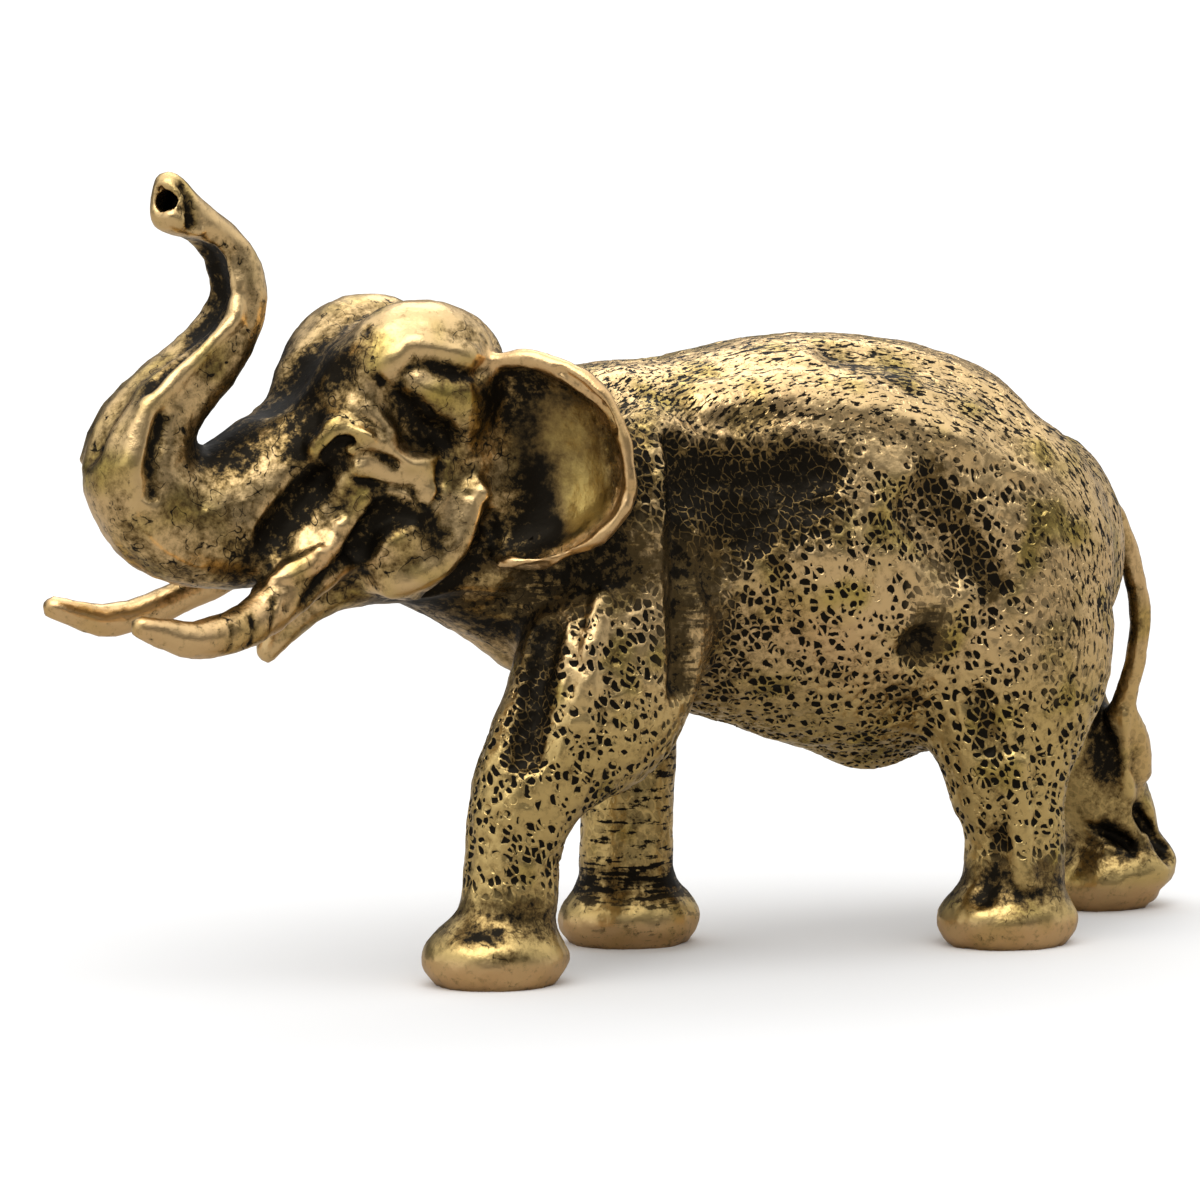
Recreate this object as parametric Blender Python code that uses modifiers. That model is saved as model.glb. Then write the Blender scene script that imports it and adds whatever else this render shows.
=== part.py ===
"""Brass elephant figurine, one solid casting, walking with its trunk raised.

The figure faces -X, its left side is -Y and +Z is up. Its pose and proportions are written in parts, of
which LENGTH_IN_PARTS make the figure's length. Sizes that a caster would set by themselves, such as the
thickness of the ears, are lengths in metres. The origin is on the ground, midway along and across.
"""

import math

import bmesh
import bpy
import numpy as np
from mathutils import Matrix, Vector

FIGURE_LENGTH = 0.0645
LENGTH_IN_PARTS = 64.5
PART = FIGURE_LENGTH / LENGTH_IN_PARTS

EAR_THICKNESS = 0.00085
EAR_RIM_DIAMETER = 0.0013
TAIL_DIAMETER = 0.0013
NOSTRIL_DIAMETER = 0.0012
NOSTRIL_DEPTH = 0.0022
NOSTRIL_AXIS = Vector((-0.75, -0.6, 0.15)).normalized()

BODY_GRAIN = FIGURE_LENGTH / 160
CASTING_GRAIN = FIGURE_LENGTH / 250
BODY_BLEND = 12
CASTING_BLEND = 3
CASTING_TRIANGLES = 9600

RING_POINTS = 32
RINGS_PER_SPAN = 6
CAP_RINGS = 4
LEFT, RIGHT = -1, 1

# The trunk's stations: (x, y, z, half width, half depth) in parts, from the face to the tip.
TRUNK_PATH = [
    (-16.5, 0, 24.2, 3.9, 4.4),
    (-20.5, 0, 23.0, 3.3, 3.5),
    (-23.6, 0, 23.3, 2.9, 3.1),
    (-25.3, 0, 25.6, 2.7, 2.65),
    (-24.1, 0, 28.4, 2.3, 2.1),
    (-21.8, 0, 30.4, 2.0, 1.7),
    (-20.2, 0, 32.3, 1.8, 1.4),
    (-19.7, 0, 34.3, 1.65, 1.25),
    (-20.5, 0, 36.1, 1.5, 1.15),
    (-22.3, -0.3, 37.5, 1.4, 1.1),
    (-23.6, -0.6, 38.4, 1.3, 1.3),
]


def smooth_stations(stations):
    """Catmull-Rom points through the stations, RINGS_PER_SPAN of them to a span."""
    rows = np.array(stations, float)
    padded = np.vstack([2 * rows[0] - rows[1], rows, 2 * rows[-1] - rows[-2]])
    found = []
    for before, start, end, after in zip(padded, padded[1:], padded[2:], padded[3:]):
        for step in range(RINGS_PER_SPAN):
            t = step / RINGS_PER_SPAN
            found.append(
                0.5 * (2 * start + (end - before) * t
                       + (2 * before - 5 * start + 4 * end - after) * t ** 2
                       + (3 * start - before - 3 * end + after) * t ** 3)
            )
    found.append(rows[-1])
    return np.array(found)


def with_round_ends(rows):
    """The same rows with rings added at both ends that close like a half ball."""
    def cap(end, inner):
        outward = end[:3] - inner[:3]
        outward /= np.linalg.norm(outward)
        reach = min(end[3], end[4])
        rings = []
        for step in range(1, CAP_RINGS + 1):
            angle = math.pi / 2 * step / (CAP_RINGS + 0.3)
            ring = end.copy()
            ring[:3] += outward * reach * math.sin(angle)
            ring[3:5] *= math.cos(angle)
            rings.append(ring)
        return rings
    return np.array([*reversed(cap(rows[0], rows[1])), *rows, *cap(rows[-1], rows[-2])])


def loft(stations, side=RIGHT, back_power=2.0, belly_power=2.0):
    """A tube through stations of (x, y, z, half width, half depth) in parts.

    Its rings stand square to the path. Width is measured across the figure and depth in the plane of the
    path and the vertical. A power over 2 makes that half of the ring boxy, and one under 2 makes it ridged.
    """
    rows = with_round_ends(smooth_stations(stations))
    rows[:, 1] *= side
    rows *= PART
    centres = rows[:, :3]
    headings = np.gradient(centres, axis=0)
    shape = bmesh.new()
    rings = []
    for (x, y, z, half_width, half_depth), heading in zip(rows, headings):
        heading = Vector(heading).normalized()
        across = Vector((0, 1, 0))
        across = (across - heading * across.dot(heading)).normalized()
        upward = across.cross(heading)
        ring = []
        for k in range(RING_POINTS):
            angle = 2 * math.pi * k / RING_POINTS
            c, s = math.cos(angle), math.sin(angle)
            power = back_power if s > 0 else belly_power
            a = math.copysign(abs(c) ** (2 / power), c) * half_width
            b = math.copysign(abs(s) ** (2 / power), s) * half_depth
            ring.append(shape.verts.new(Vector((x, y, z)) + across * a + upward * b))
        rings.append(ring)
    for ring, following in zip(rings, rings[1:]):
        for k in range(RING_POINTS):
            n = (k + 1) % RING_POINTS
            shape.faces.new((ring[k], ring[n], following[n], following[k]))
    shape.faces.new(rings[0])
    shape.faces.new(rings[-1])
    bmesh.ops.recalc_face_normals(shape, faces=shape.faces)
    return shape


def mass(centre, radii, side=RIGHT, pitch=0.0, yaw=0.0):
    """A ball of clay: an ellipsoid in parts. Pitch turns it about Y and yaw about Z, in degrees."""
    shape = bmesh.new()
    bmesh.ops.create_uvsphere(shape, u_segments=32, v_segments=20, radius=1)
    x, y, z = centre
    place = (
        Matrix.Translation(Vector((x, side * y, z)) * PART)
        @ Matrix.Rotation(math.radians(side * yaw), 4, "Z")
        @ Matrix.Rotation(math.radians(pitch), 4, "Y")
        @ Matrix.Diagonal((*(r * PART for r in radii), 1))
    )
    bmesh.ops.transform(shape, matrix=place, verts=shape.verts)
    return shape


def both_sides(make, *sizes, **more):
    return [make(*sizes, side=side, **more) for side in (LEFT, RIGHT)]


def torso():
    """Barrel of the body, from the chest to the rump, with a roofed back and a round belly."""
    profile = [
        # x, top, bottom, half width
        (-6.0, 29.3, 16.5, 4.8),
        (-2.0, 30.1, 13.8, 6.2),
        (3.0, 30.2, 12.8, 7.1),
        (10.0, 31.3, 10.8, 8.1),
        (16.0, 30.7, 9.3, 8.3),
        (21.0, 29.2, 9.9, 7.4),
        (24.6, 26.2, 12.6, 5.4),
    ]
    stations = [(x, 0, (top + low) / 2, wide, (top - low) / 2) for x, top, low, wide in profile]
    return [
        loft(stations, back_power=1.85, belly_power=2.3),
        mass((15.6, 0, 10.5), (3.4, 1.7, 1.9)),
    ]


def neck_and_head():
    neck = [(1.0, 0, 21.3, 6.6, 8.8), (-4.0, 0, 22.9, 5.9, 7.4), (-9.0, 0, 24.8, 5.0, 6.6)]
    muzzle = [(-10.5, 0, 25.6, 4.7, 5.8), (-14.0, 0, 25.2, 4.3, 5.3), (-17.5, 0, 24.1, 3.7, 4.5),
              (-20.5, 0, 23.3, 3.2, 3.6)]
    jaw = [(-7.0, 0, 21.0, 3.8, 3.2), (-11.5, 0, 20.8, 3.4, 2.4), (-15.5, 0, 19.6, 2.4, 1.6),
           (-17.6, 0, 17.6, 1.3, 1.0), (-18.5, 0, 16.3, 0.9, 0.7)]
    return [
        loft(neck),
        loft(muzzle),
        loft(jaw),
        mass((-11.2, 0, 27.5), (6.2, 5.3, 5.7)),
        *both_sides(mass, (-11.5, 3.0, 29.6), (4.6, 3.3, 4.1)),
        *both_sides(mass, (-14.0, 2.1, 28.3), (3.2, 2.6, 3.7)),
        *both_sides(mass, (-15.4, 3.0, 26.2), (2.7, 2.0, 2.3), pitch=-20),
        *both_sides(mass, (-11.8, 3.1, 26.2), (3.8, 2.0, 3.0)),
        *both_sides(mass, (-11.6, 3.5, 22.6), (4.2, 1.9, 3.8), pitch=-25),
        *both_sides(mass, (-18.0, 2.6, 21.5), (2.4, 1.4, 1.7), pitch=-30),
    ]


def trunk():
    """Trunk in an S: down and forward from the face, up past the forehead, its tip bent forward."""
    return loft(TRUNK_PATH, back_power=2.0, belly_power=2.6)


def trunk_lips():
    """Upper and lower lip of the trunk's tip, above and below the nostril."""
    return [mass((-23.8, 0.55, 39.45), (0.9, 0.95, 0.8), LEFT), mass((-24.0, 0.7, 37.5), (0.85, 1.1, 0.7), LEFT)]


def legs():
    fore_left = [(0.8, 4.4, 21.5, 3.0, 4.2), (-1.2, 4.8, 17.0, 3.4, 4.7), (-3.3, 5.2, 13.5, 3.3, 4.9),
                 (-5.5, 5.2, 11.1, 2.9, 3.6), (-6.9, 5.1, 9.0, 2.6, 2.9), (-7.5, 5.0, 6.7, 2.35, 2.4),
                 (-7.7, 5.0, 4.2, 2.4, 2.5)]
    fore_right = [(1.6, 4.4, 20.0, 3.2, 4.6), (3.2, 4.6, 14.5, 2.8, 3.8), (4.1, 4.6, 10.0, 2.2, 2.6),
                  (4.0, 4.6, 7.2, 2.2, 2.5), (3.9, 4.6, 4.2, 2.4, 2.5)]
    hind_left = [(20.5, 4.0, 19.0, 4.2, 6.6), (21.2, 4.5, 14.5, 3.9, 5.8), (20.9, 4.8, 11.0, 3.2, 4.5),
                 (20.9, 4.9, 8.1, 2.75, 3.3), (21.3, 4.9, 6.0, 2.55, 2.65), (21.3, 4.9, 4.0, 2.6, 2.7)]
    hind_right = [(22.0, 4.0, 18.5, 3.8, 5.4), (25.0, 4.2, 14.5, 3.6, 4.4), (28.6, 4.3, 10.5, 2.9, 3.6),
                  (31.2, 4.4, 7.4, 2.5, 2.8), (32.9, 4.5, 4.6, 2.5, 2.6)]
    shapes = [loft(fore_left, LEFT), loft(fore_right, RIGHT), loft(hind_left, LEFT), loft(hind_right, RIGHT)]
    for x, y, side in ((-8.5, 5.0, LEFT), (4.1, 4.6, RIGHT), (20.9, 4.9, LEFT)):
        shapes.append(mass((x, y, 1.2), (3.75, 3.3, 2.6), side))
    # The right hind foot pushes off: its heel is a little off the ground.
    shapes.append(mass((32.9, 4.6, 1.8), (3.8, 3.3, 2.4), RIGHT, pitch=-13))
    return shapes


def haunches():
    """Shoulder blades, hip bones and thighs that swell out of the barrel."""
    return [
        *both_sides(mass, (-0.8, 4.3, 22.0), (4.3, 3.4, 6.6), pitch=14),
        *both_sides(mass, (20.9, 3.9, 20.0), (6.4, 4.2, 7.6), pitch=-14),
        *both_sides(mass, (18.0, 3.4, 27.2), (5.0, 2.4, 2.2), pitch=8),
    ]


def tusk(side):
    if side == LEFT:
        path = [(-16.5, 2.9, 21.2, 1.35, 1.35), (-19.0, 3.4, 19.6, 1.25, 1.25), (-21.5, 4.2, 18.2, 1.1, 1.1),
                (-24.6, 4.9, 17.7, 0.95, 0.95), (-27.5, 5.2, 18.5, 0.62, 0.62)]
    else:
        path = [(-16.5, 2.9, 21.4, 1.25, 1.25), (-19.0, 3.4, 20.1, 1.0, 1.0), (-21.5, 4.2, 18.7, 0.85, 0.85),
                (-24.6, 4.9, 17.8, 0.85, 0.85), (-27.5, 5.2, 18.5, 0.62, 0.62)]
    return loft(path, side)


def tail():
    """Tail from the rump, out in an arc and back to the right hock, where its tuft rests."""
    r = TAIL_DIAMETER / 2 / PART
    path = [(27.3, 0, 23.6, 1.7 * r, 1.7 * r), (29.2, 0, 22.0, 1.4 * r, 1.4 * r),
            (30.9, 0, 19.5, r, r), (31.8, 0, 16.4, 0.9 * r, 0.9 * r), (31.8, 0.4, 13.4, 0.9 * r, 0.9 * r),
            (31.6, 1.2, 11.0, 1.1 * r, 1.1 * r), (32.6, 2.0, 9.2, 1.5 * r, 1.5 * r),
            (33.4, 2.6, 7.4, 1.3 * r, 1.3 * r)]
    return loft(path)


def ear_ribs():
    """Ribs of the ear from the top down: each (x, y, z) at the cheek, in the cup and at the rim."""
    return [
        ((-9.3, 4.6, 30.4), (-8.3, 5.5, 30.6), (-7.2, 6.6, 30.7)),
        ((-9.5, 4.9, 28.6), (-6.5, 5.5, 29.0), (-4.8, 8.7, 29.2)),
        ((-9.6, 5.1, 26.6), (-5.8, 5.6, 26.8), (-3.9, 9.8, 26.9)),
        ((-9.6, 5.2, 24.6), (-5.7, 5.7, 24.5), (-3.8, 10.1, 24.2)),
        ((-9.4, 5.2, 22.6), (-6.2, 5.9, 22.4), (-5.0, 9.4, 22.3)),
        ((-8.9, 5.4, 20.8), (-7.8, 6.0, 20.8), (-7.0, 7.6, 21.1)),
    ]


def ear(side):
    """Ear as a cupped sheet: it runs back from the cheek, then turns out to a rim that rolls forward."""
    rows, columns = 15, 13
    ribs = ear_ribs()
    points = smooth_stations(np.array(ribs, float).reshape(len(ribs), 9))
    picked = points[np.round(np.linspace(0, len(points) - 1, rows)).astype(int)]
    shape = bmesh.new()
    grid = []
    for row in picked:
        root, cup, rim = row[:3], row[3:6], row[6:]
        control = 2 * cup - (root + rim) / 2
        line = []
        for k in range(columns):
            t = k / (columns - 1)
            point = (1 - t) ** 2 * root + 2 * t * (1 - t) * control + t ** 2 * rim
            line.append(shape.verts.new(Vector((point[0], side * point[1], point[2])) * PART))
        grid.append(line)
    for line, below in zip(grid, grid[1:]):
        for k in range(columns - 1):
            shape.faces.new((line[k], line[k + 1], below[k + 1], below[k]))
    bmesh.ops.recalc_face_normals(shape, faces=shape.faces)
    bmesh.ops.solidify(shape, geom=shape.faces[:], thickness=EAR_THICKNESS)
    bmesh.ops.recalc_face_normals(shape, faces=shape.faces)
    return shape


def ear_rim(side):
    """Thick edge of the ear, rolled forward, widest along its top."""
    r = EAR_RIM_DIAMETER / 2 / PART
    ribs = ear_ribs()
    swell = np.linspace(1.25, 0.75, len(ribs) + 2)
    corners = [ribs[0][0], *(rim for root, cup, rim in ribs), ribs[-1][0]]
    path = [(*corner, r * s, r * s) for corner, s in zip(corners, swell)]
    return loft(path, side)


def mesh_object(name, mesh):
    made = bpy.data.objects.new(name, mesh)
    bpy.context.scene.collection.objects.link(made)
    return made


def joined(name, shapes):
    """One object that holds all the shapes, still as separate shells."""
    whole = bmesh.new()
    for shape in shapes:
        piece = bpy.data.meshes.new("shell")
        shape.to_mesh(piece)
        shape.free()
        whole.from_mesh(piece)
        bpy.data.meshes.remove(piece)
    mesh = bpy.data.meshes.new(name)
    whole.to_mesh(mesh)
    whole.free()
    return mesh_object(name, mesh)


def applied(made):
    """The object's mesh with its modifiers in it, in place of the object's old mesh."""
    bpy.context.view_layer.update()
    graph = bpy.context.evaluated_depsgraph_get()
    mesh = bpy.data.meshes.new_from_object(made.evaluated_get(graph))
    made.modifiers.clear()
    made.data = mesh
    return made


def melted(made, grain, passes):
    """The shells run together into one skin of that grain, then smoothed by so many passes."""
    remesh = made.modifiers.new("one skin", "REMESH")
    remesh.mode = "VOXEL"
    remesh.voxel_size = grain
    if passes:
        smooth = made.modifiers.new("blend", "SMOOTH")
        smooth.factor = 0.5
        smooth.iterations = passes
    return applied(made)


def shell_of(made):
    shape = bmesh.new()
    shape.from_mesh(made.data)
    bpy.data.objects.remove(made)
    return shape


def nearest(places, path):
    """Distance from each place to the path, a row of one or more points."""
    if len(path) == 1:
        return np.linalg.norm(places - path[0], axis=1)
    found = []
    for start, end in zip(path, path[1:]):
        run = end - start
        share = np.clip((places - start) @ run / (run @ run), 0, 1)
        found.append(np.linalg.norm(places - start - share[:, None] * run, axis=1))
    return np.min(found, axis=0)


def carved(made, strokes):
    """The skin raised or sunk, square to itself, along strokes of (path, reach, height) in parts."""
    mesh = made.data
    places = np.empty(len(mesh.vertices) * 3)
    normals = np.empty(len(mesh.vertices) * 3)
    mesh.vertices.foreach_get("co", places)
    mesh.vertices.foreach_get("normal", normals)
    places = places.reshape(-1, 3) / PART
    normals = normals.reshape(-1, 3)
    moved = places.copy()
    for path, reach, height in strokes:
        path = np.array(path, float)
        near = np.all((places > path.min(axis=0) - reach) & (places < path.max(axis=0) + reach), axis=1)
        share = np.clip(1 - (nearest(places[near], path) / reach) ** 2, 0, 1) ** 2
        moved[near] += normals[near] * (share * height)[:, None]
    mesh.vertices.foreach_set("co", (moved * PART).ravel())
    mesh.update()
    return made


def mirrored(strokes):
    """The strokes, which are written for the left side, and the same ones on the right side."""
    return [([(x, side * -y, z) for x, y, z in path], reach, height)
            for side in (LEFT, RIGHT) for path, reach, height in strokes]


def head_strokes():
    down_the_forehead = ([(-11.4, 0, 33.2), (-14.5, 0, 32.3), (-16.5, 0, 30.4), (-18.0, 0, 28.4)], 2.0, -0.6)
    return [down_the_forehead, *mirrored([
        # under the edge of the dome
        ([(-14.4, -5.4, 29.6), (-13.3, -5.6, 30.6), (-11.8, -5.9, 30.3), (-10.3, -6.0, 29.9)], 1.3, -0.7),
        ([(-14.4, -5.2, 30.6), (-13.3, -5.5, 31.7), (-11.9, -5.8, 31.4), (-10.1, -6.0, 31.0)], 0.9, 0.3),
        # temple, behind the eye
        ([(-13.8, -5.6, 28.4), (-12.9, -5.5, 27.4), (-11.7, -5.3, 26.8)], 1.7, -1.1),
        # brow, from the trunk's root over the eye and back along the cheek bone
        ([(-17.6, -3.8, 26.6), (-16.9, -4.1, 27.3), (-16.2, -4.4, 27.6), (-15.5, -4.7, 27.1)], 0.8, 0.5),
        ([(-15.5, -4.7, 27.1), (-14.6, -4.8, 26.6), (-12.9, -4.9, 25.8), (-11.6, -5.1, 25.9)], 0.8, 0.45),
        # socket and eye
        ([(-17.3, -4.1, 25.2), (-16.5, -4.6, 26.1)], 1.1, -0.7),
        ([(-16.1, -4.8, 26.4)], 0.6, 0.4),
        # hollow between the trunk's root and the cheek
        ([(-17.8, -3.8, 24.5), (-18.8, -3.6, 23.4), (-19.5, -3.4, 22.4)], 1.5, -0.9),
        # hollow of the cheek
        ([(-13.8, -4.9, 23.4), (-14.9, -4.5, 22.7), (-15.4, -4.2, 21.9)], 1.2, -0.8),
        # fold of the lip, from the cheek to the tusk
        ([(-15.4, -4.3, 24.0), (-16.5, -4.0, 22.4), (-17.7, -4.2, 21.3), (-19.1, -4.1, 20.7)], 0.9, 0.55),
        # edge of the jaw, and the neck behind it
        ([(-9.7, -5.4, 24.2), (-10.1, -5.3, 22.3), (-11.6, -5.1, 20.7), (-13.6, -4.2, 19.7)], 1.1, 0.5),
        ([(-8.8, -5.2, 22.6), (-9.4, -4.9, 20.4), (-11.0, -4.2, 19.0)], 1.2, -0.7),
        # line of the mouth
        ([(-18.6, -2.4, 18.3), (-16.9, -3.2, 19.0), (-15.2, -3.9, 20.0)], 0.8, -0.5),
    ])]


def trunk_strokes():
    channel = ([(-22.2, -0.4, 37.0), (-21.5, -0.1, 35.4), (-21.3, 0, 33.8), (-22.2, 0, 32.0), (-24.0, 0, 30.6),
                (-26.2, 0, 28.8), (-28.0, 0, 26.6)], 1.2, -0.6)
    return [channel, *mirrored([
        ([(-21.0, -1.5, 35.0), (-20.9, -1.6, 32.9), (-23.3, -1.8, 30.7), (-25.8, -2.0, 28.6),
          (-26.9, -2.2, 26.0)], 0.8, 0.4),
    ])]


def body_strokes():
    return mirrored([
        # crease behind the shoulder
        ([(0.8, -6.5, 26.2), (0.8, -7.6, 22.7), (0.5, -7.9, 18.8), (0.6, -7.9, 14.6)], 1.3, -0.9),
        # hollow of the flank, in front of the ribs and above them
        ([(2.4, -6.9, 24.4), (5.0, -7.1, 24.2), (7.6, -7.3, 24.5)], 2.5, -0.9),
        ([(2.3, -7.4, 20.2), (4.2, -7.4, 21.8)], 2.2, -0.7),
        # hollow of the flank, in front of the hip
        ([(13.8, -8.2, 22.4), (16.0, -8.3, 20.0)], 2.3, -0.9),
        ([(14.0, -7.6, 15.6)], 1.6, -0.8),
        # ribs and belly
        ([(8.9, -8.0, 20.5), (10.0, -8.0, 17.0)], 3.4, 0.4),
        ([(7.0, -6.4, 13.0), (10.8, -6.6, 12.5), (14.4, -6.2, 12.2)], 1.1, -0.4),
        # crest from the withers to the hip
        ([(3.4, -4.8, 28.2), (7.7, -5.4, 28.3), (11.7, -6.2, 27.7), (16.8, -7.0, 25.7)], 1.6, 0.5),
        ([(11.5, -3.4, 30.0), (15.5, -4.0, 29.1), (19.0, -4.4, 27.6)], 1.9, -0.6),
        # folds of the chest
        ([(-9.8, -3.0, 17.8), (-7.6, -4.0, 18.4), (-6.2, -5.2, 20.2)], 0.9, -0.4),
    ])


def leg_strokes():
    return [
        # left foreleg: hollow down its front, and the ridges beside it
        ([(-6.4, -6.4, 17.2), (-7.0, -6.8, 14.3), (-7.6, -7.1, 11.4)], 1.2, -0.7),
        ([(-8.2, -4.9, 16.8), (-8.9, -5.3, 13.6), (-9.6, -5.6, 10.8)], 0.9, 0.3),
        ([(-3.8, -7.4, 18.9), (-4.7, -7.9, 16.5), (-5.2, -8.0, 13.0)], 0.9, 0.4),
        # left hind leg: hollow of the thigh, and the ridge down to the foot
        ([(17.8, -7.2, 12.8), (18.5, -7.1, 10.6)], 1.2, -0.5),
        ([(19.9, -7.5, 9.6), (20.3, -7.3, 6.1), (20.6, -7.3, 3.4)], 0.8, 0.4),
        ([(19.0, -6.9, 5.6), (18.4, -6.6, 2.9)], 1.0, -0.4),
        # right foreleg
        ([(3.0, 6.7, 14.0), (3.4, 6.8, 9.0)], 1.1, -0.5),
        # right hind leg: ridge of the hock and the two folds over the heel
        ([(30.9, 1.2, 10.6), (32.4, 2.1, 6.4)], 0.8, 0.4),
        ([(30.8, 2.1, 4.5), (32.6, 1.9, 3.5)], 0.8, -0.7),
        ([(33.4, 2.3, 5.2), (34.6, 2.3, 3.7), (35.0, 2.3, 2.8)], 0.8, -0.8),
        ([(34.3, 2.2, 5.2), (35.3, 2.4, 3.4)], 0.7, 0.4),
    ]


def simplified(made):
    """Long triangles where the skin is plain and small ones where it turns, within the casting's count."""
    made.data.calc_loop_triangles()
    thin = made.modifiers.new("fewer triangles", "DECIMATE")
    thin.ratio = CASTING_TRIANGLES / len(made.data.loop_triangles)
    return applied(made)


def set_on_origin(made):
    """The origin midway along and across, with the sole plane at z = 0 as it is."""
    places = np.array([vertex.co for vertex in made.data.vertices])
    middle = (places.min(axis=0) + places.max(axis=0)) / 2
    shift = Matrix.Translation((-middle[0], -middle[1], 0))
    made.data.transform(shift)
    return shift


def cutter(name, shape, shift):
    mesh = bpy.data.meshes.new(name)
    shape.to_mesh(mesh)
    shape.free()
    mesh.transform(shift)
    made = bpy.data.objects.new(name, mesh)
    made.hide_render = True
    made.display_type = "WIRE"
    return made


def ground():
    """Block under the soles: what it takes away leaves them flat."""
    shape = bmesh.new()
    bmesh.ops.create_cube(shape, size=2 * FIGURE_LENGTH)
    bmesh.ops.translate(shape, vec=(0, 0, -FIGURE_LENGTH), verts=shape.verts)
    return shape


def nostril():
    """Blind bore in the trunk's tip, turned a little to the figure's left."""
    tip = Vector(TRUNK_PATH[-1][:3]) * PART
    mouth = tip + NOSTRIL_AXIS * TRUNK_PATH[-1][3] * PART
    shape = bmesh.new()
    bmesh.ops.create_cone(
        shape, cap_ends=True, segments=16, radius1=NOSTRIL_DIAMETER / 2, radius2=NOSTRIL_DIAMETER / 2,
        depth=2 * NOSTRIL_DEPTH,
    )
    turn = NOSTRIL_AXIS.to_track_quat("Z", "Y").to_matrix().to_4x4()
    bmesh.ops.transform(shape, matrix=Matrix.Translation(mouth) @ turn, verts=shape.verts)
    return shape


def cut_away(made, tool):
    cut = made.modifiers.new(tool.name, "BOOLEAN")
    cut.operation = "DIFFERENCE"
    cut.solver = "EXACT"
    cut.object = tool


def antique_brass():
    made = bpy.data.materials.new("antique brass")
    made.use_nodes = True
    shader = made.node_tree.nodes["Principled BSDF"]
    shader.inputs["Base Color"].default_value = (0.52, 0.36, 0.13, 1)
    shader.inputs["Metallic"].default_value = 1
    shader.inputs["Roughness"].default_value = 0.34
    return made


def collection(name):
    made = bpy.data.collections.new(name)
    bpy.context.scene.collection.children.link(made)
    return made


def cast_elephant():
    body = joined("body", [*torso(), *haunches(), *neck_and_head(), trunk(), *trunk_lips(), *legs()])
    body = melted(body, BODY_GRAIN, BODY_BLEND)
    fine = [tusk(LEFT), tusk(RIGHT), ear(LEFT), ear(RIGHT), ear_rim(LEFT), ear_rim(RIGHT), tail()]
    whole = joined("elephant", [shell_of(body), *fine])
    whole = melted(whole, CASTING_GRAIN, CASTING_BLEND)
    carved(whole, [*head_strokes(), *trunk_strokes(), *body_strokes(), *leg_strokes()])
    return simplified(whole)


def main():
    for old in list(bpy.data.objects):
        bpy.data.objects.remove(old)
    elephant = cast_elephant()
    shift = set_on_origin(elephant)
    elephant.data.materials.clear()
    elephant.data.materials.append(antique_brass())
    bpy.context.scene.collection.objects.unlink(elephant)
    collection("brass elephant figurine").objects.link(elephant)
    cutters = collection("cutters")
    for tool in (cutter("ground", ground(), shift), cutter("nostril", nostril(), shift)):
        cutters.objects.link(tool)
        cut_away(elephant, tool)
    elephant.data.shade_smooth()


main()
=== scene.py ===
"""Antique brass elephant figurine on a pale studio floor.

The figure faces -X and its left side is -Y. The casting's skin is made from the solid's own form, with the
modelling of the face, ears, trunk and legs carved into it, the pitted surface of the cast on top, and the
dark patina left where polishing doesn't reach, with painted shade and painted highlights laid in with it in
a few places.
"""

import math

import bpy
import numpy as np
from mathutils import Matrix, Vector
from mathutils.bvhtree import BVHTree
from mathutils.kdtree import KDTree


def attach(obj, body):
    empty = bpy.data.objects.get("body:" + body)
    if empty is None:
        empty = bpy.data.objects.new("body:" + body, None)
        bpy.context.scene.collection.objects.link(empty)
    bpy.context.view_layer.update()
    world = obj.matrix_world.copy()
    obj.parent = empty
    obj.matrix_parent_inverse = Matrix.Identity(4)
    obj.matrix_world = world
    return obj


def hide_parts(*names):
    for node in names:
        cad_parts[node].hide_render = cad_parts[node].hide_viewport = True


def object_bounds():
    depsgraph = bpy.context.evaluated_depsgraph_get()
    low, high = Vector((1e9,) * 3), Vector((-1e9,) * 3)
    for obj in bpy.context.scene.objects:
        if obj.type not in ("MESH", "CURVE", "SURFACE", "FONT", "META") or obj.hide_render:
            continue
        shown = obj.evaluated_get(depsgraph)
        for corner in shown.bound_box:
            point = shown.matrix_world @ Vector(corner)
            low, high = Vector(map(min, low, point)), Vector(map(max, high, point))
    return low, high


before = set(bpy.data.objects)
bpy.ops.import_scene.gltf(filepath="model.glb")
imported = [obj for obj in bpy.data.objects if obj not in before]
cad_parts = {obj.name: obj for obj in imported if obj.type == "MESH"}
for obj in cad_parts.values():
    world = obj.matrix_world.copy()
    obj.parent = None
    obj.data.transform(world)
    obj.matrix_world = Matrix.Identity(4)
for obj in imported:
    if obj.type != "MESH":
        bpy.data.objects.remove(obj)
CAD_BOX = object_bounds()

bl_info = {
    "name": "Antique brass elephant",
    "version": (1, 0, 0),
    "blender": (4, 5, 0),
    "location": "View3D > Sidebar > Brass elephant",
    "description": "Builds a walking elephant figurine in pitted, antiqued brass",
    "category": "Object",
}

MM = 0.001
CASTING = "elephant"
LEFT, RIGHT = -1, 1

# Places on the figure are in millimetres from a point on the ground under the shoulders, this far along X
# from the figure's middle.
SHOULDER_X = -4.22

# The barrel's middle, round which the lines on the back and rump turn.
BARREL_X, BARREL_Z, BARREL_RADIUS = 12.0, 16.0, 13.0

# These are in millimetres too. How far from an ear's rim its edge is thinned.
RIM_REACH = 1.25

# Strokes with a smaller reach than this are carved last, over the broad ones.
THIN_REACH = 0.6

# How far the worn soles are drawn in at the ground and stand out above it, and the height each acts at.
SOLE_ROUND, SOLE_ROUND_HEIGHT = 0.4, 0.8
SOLE_BULGE, SOLE_BULGE_HEIGHT, SOLE_BULGE_SPREAD = 0.12, 1.4, 0.8

# What is lower than this is laid flat on the ground.
FLAT_HEIGHT = 0.1

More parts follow.
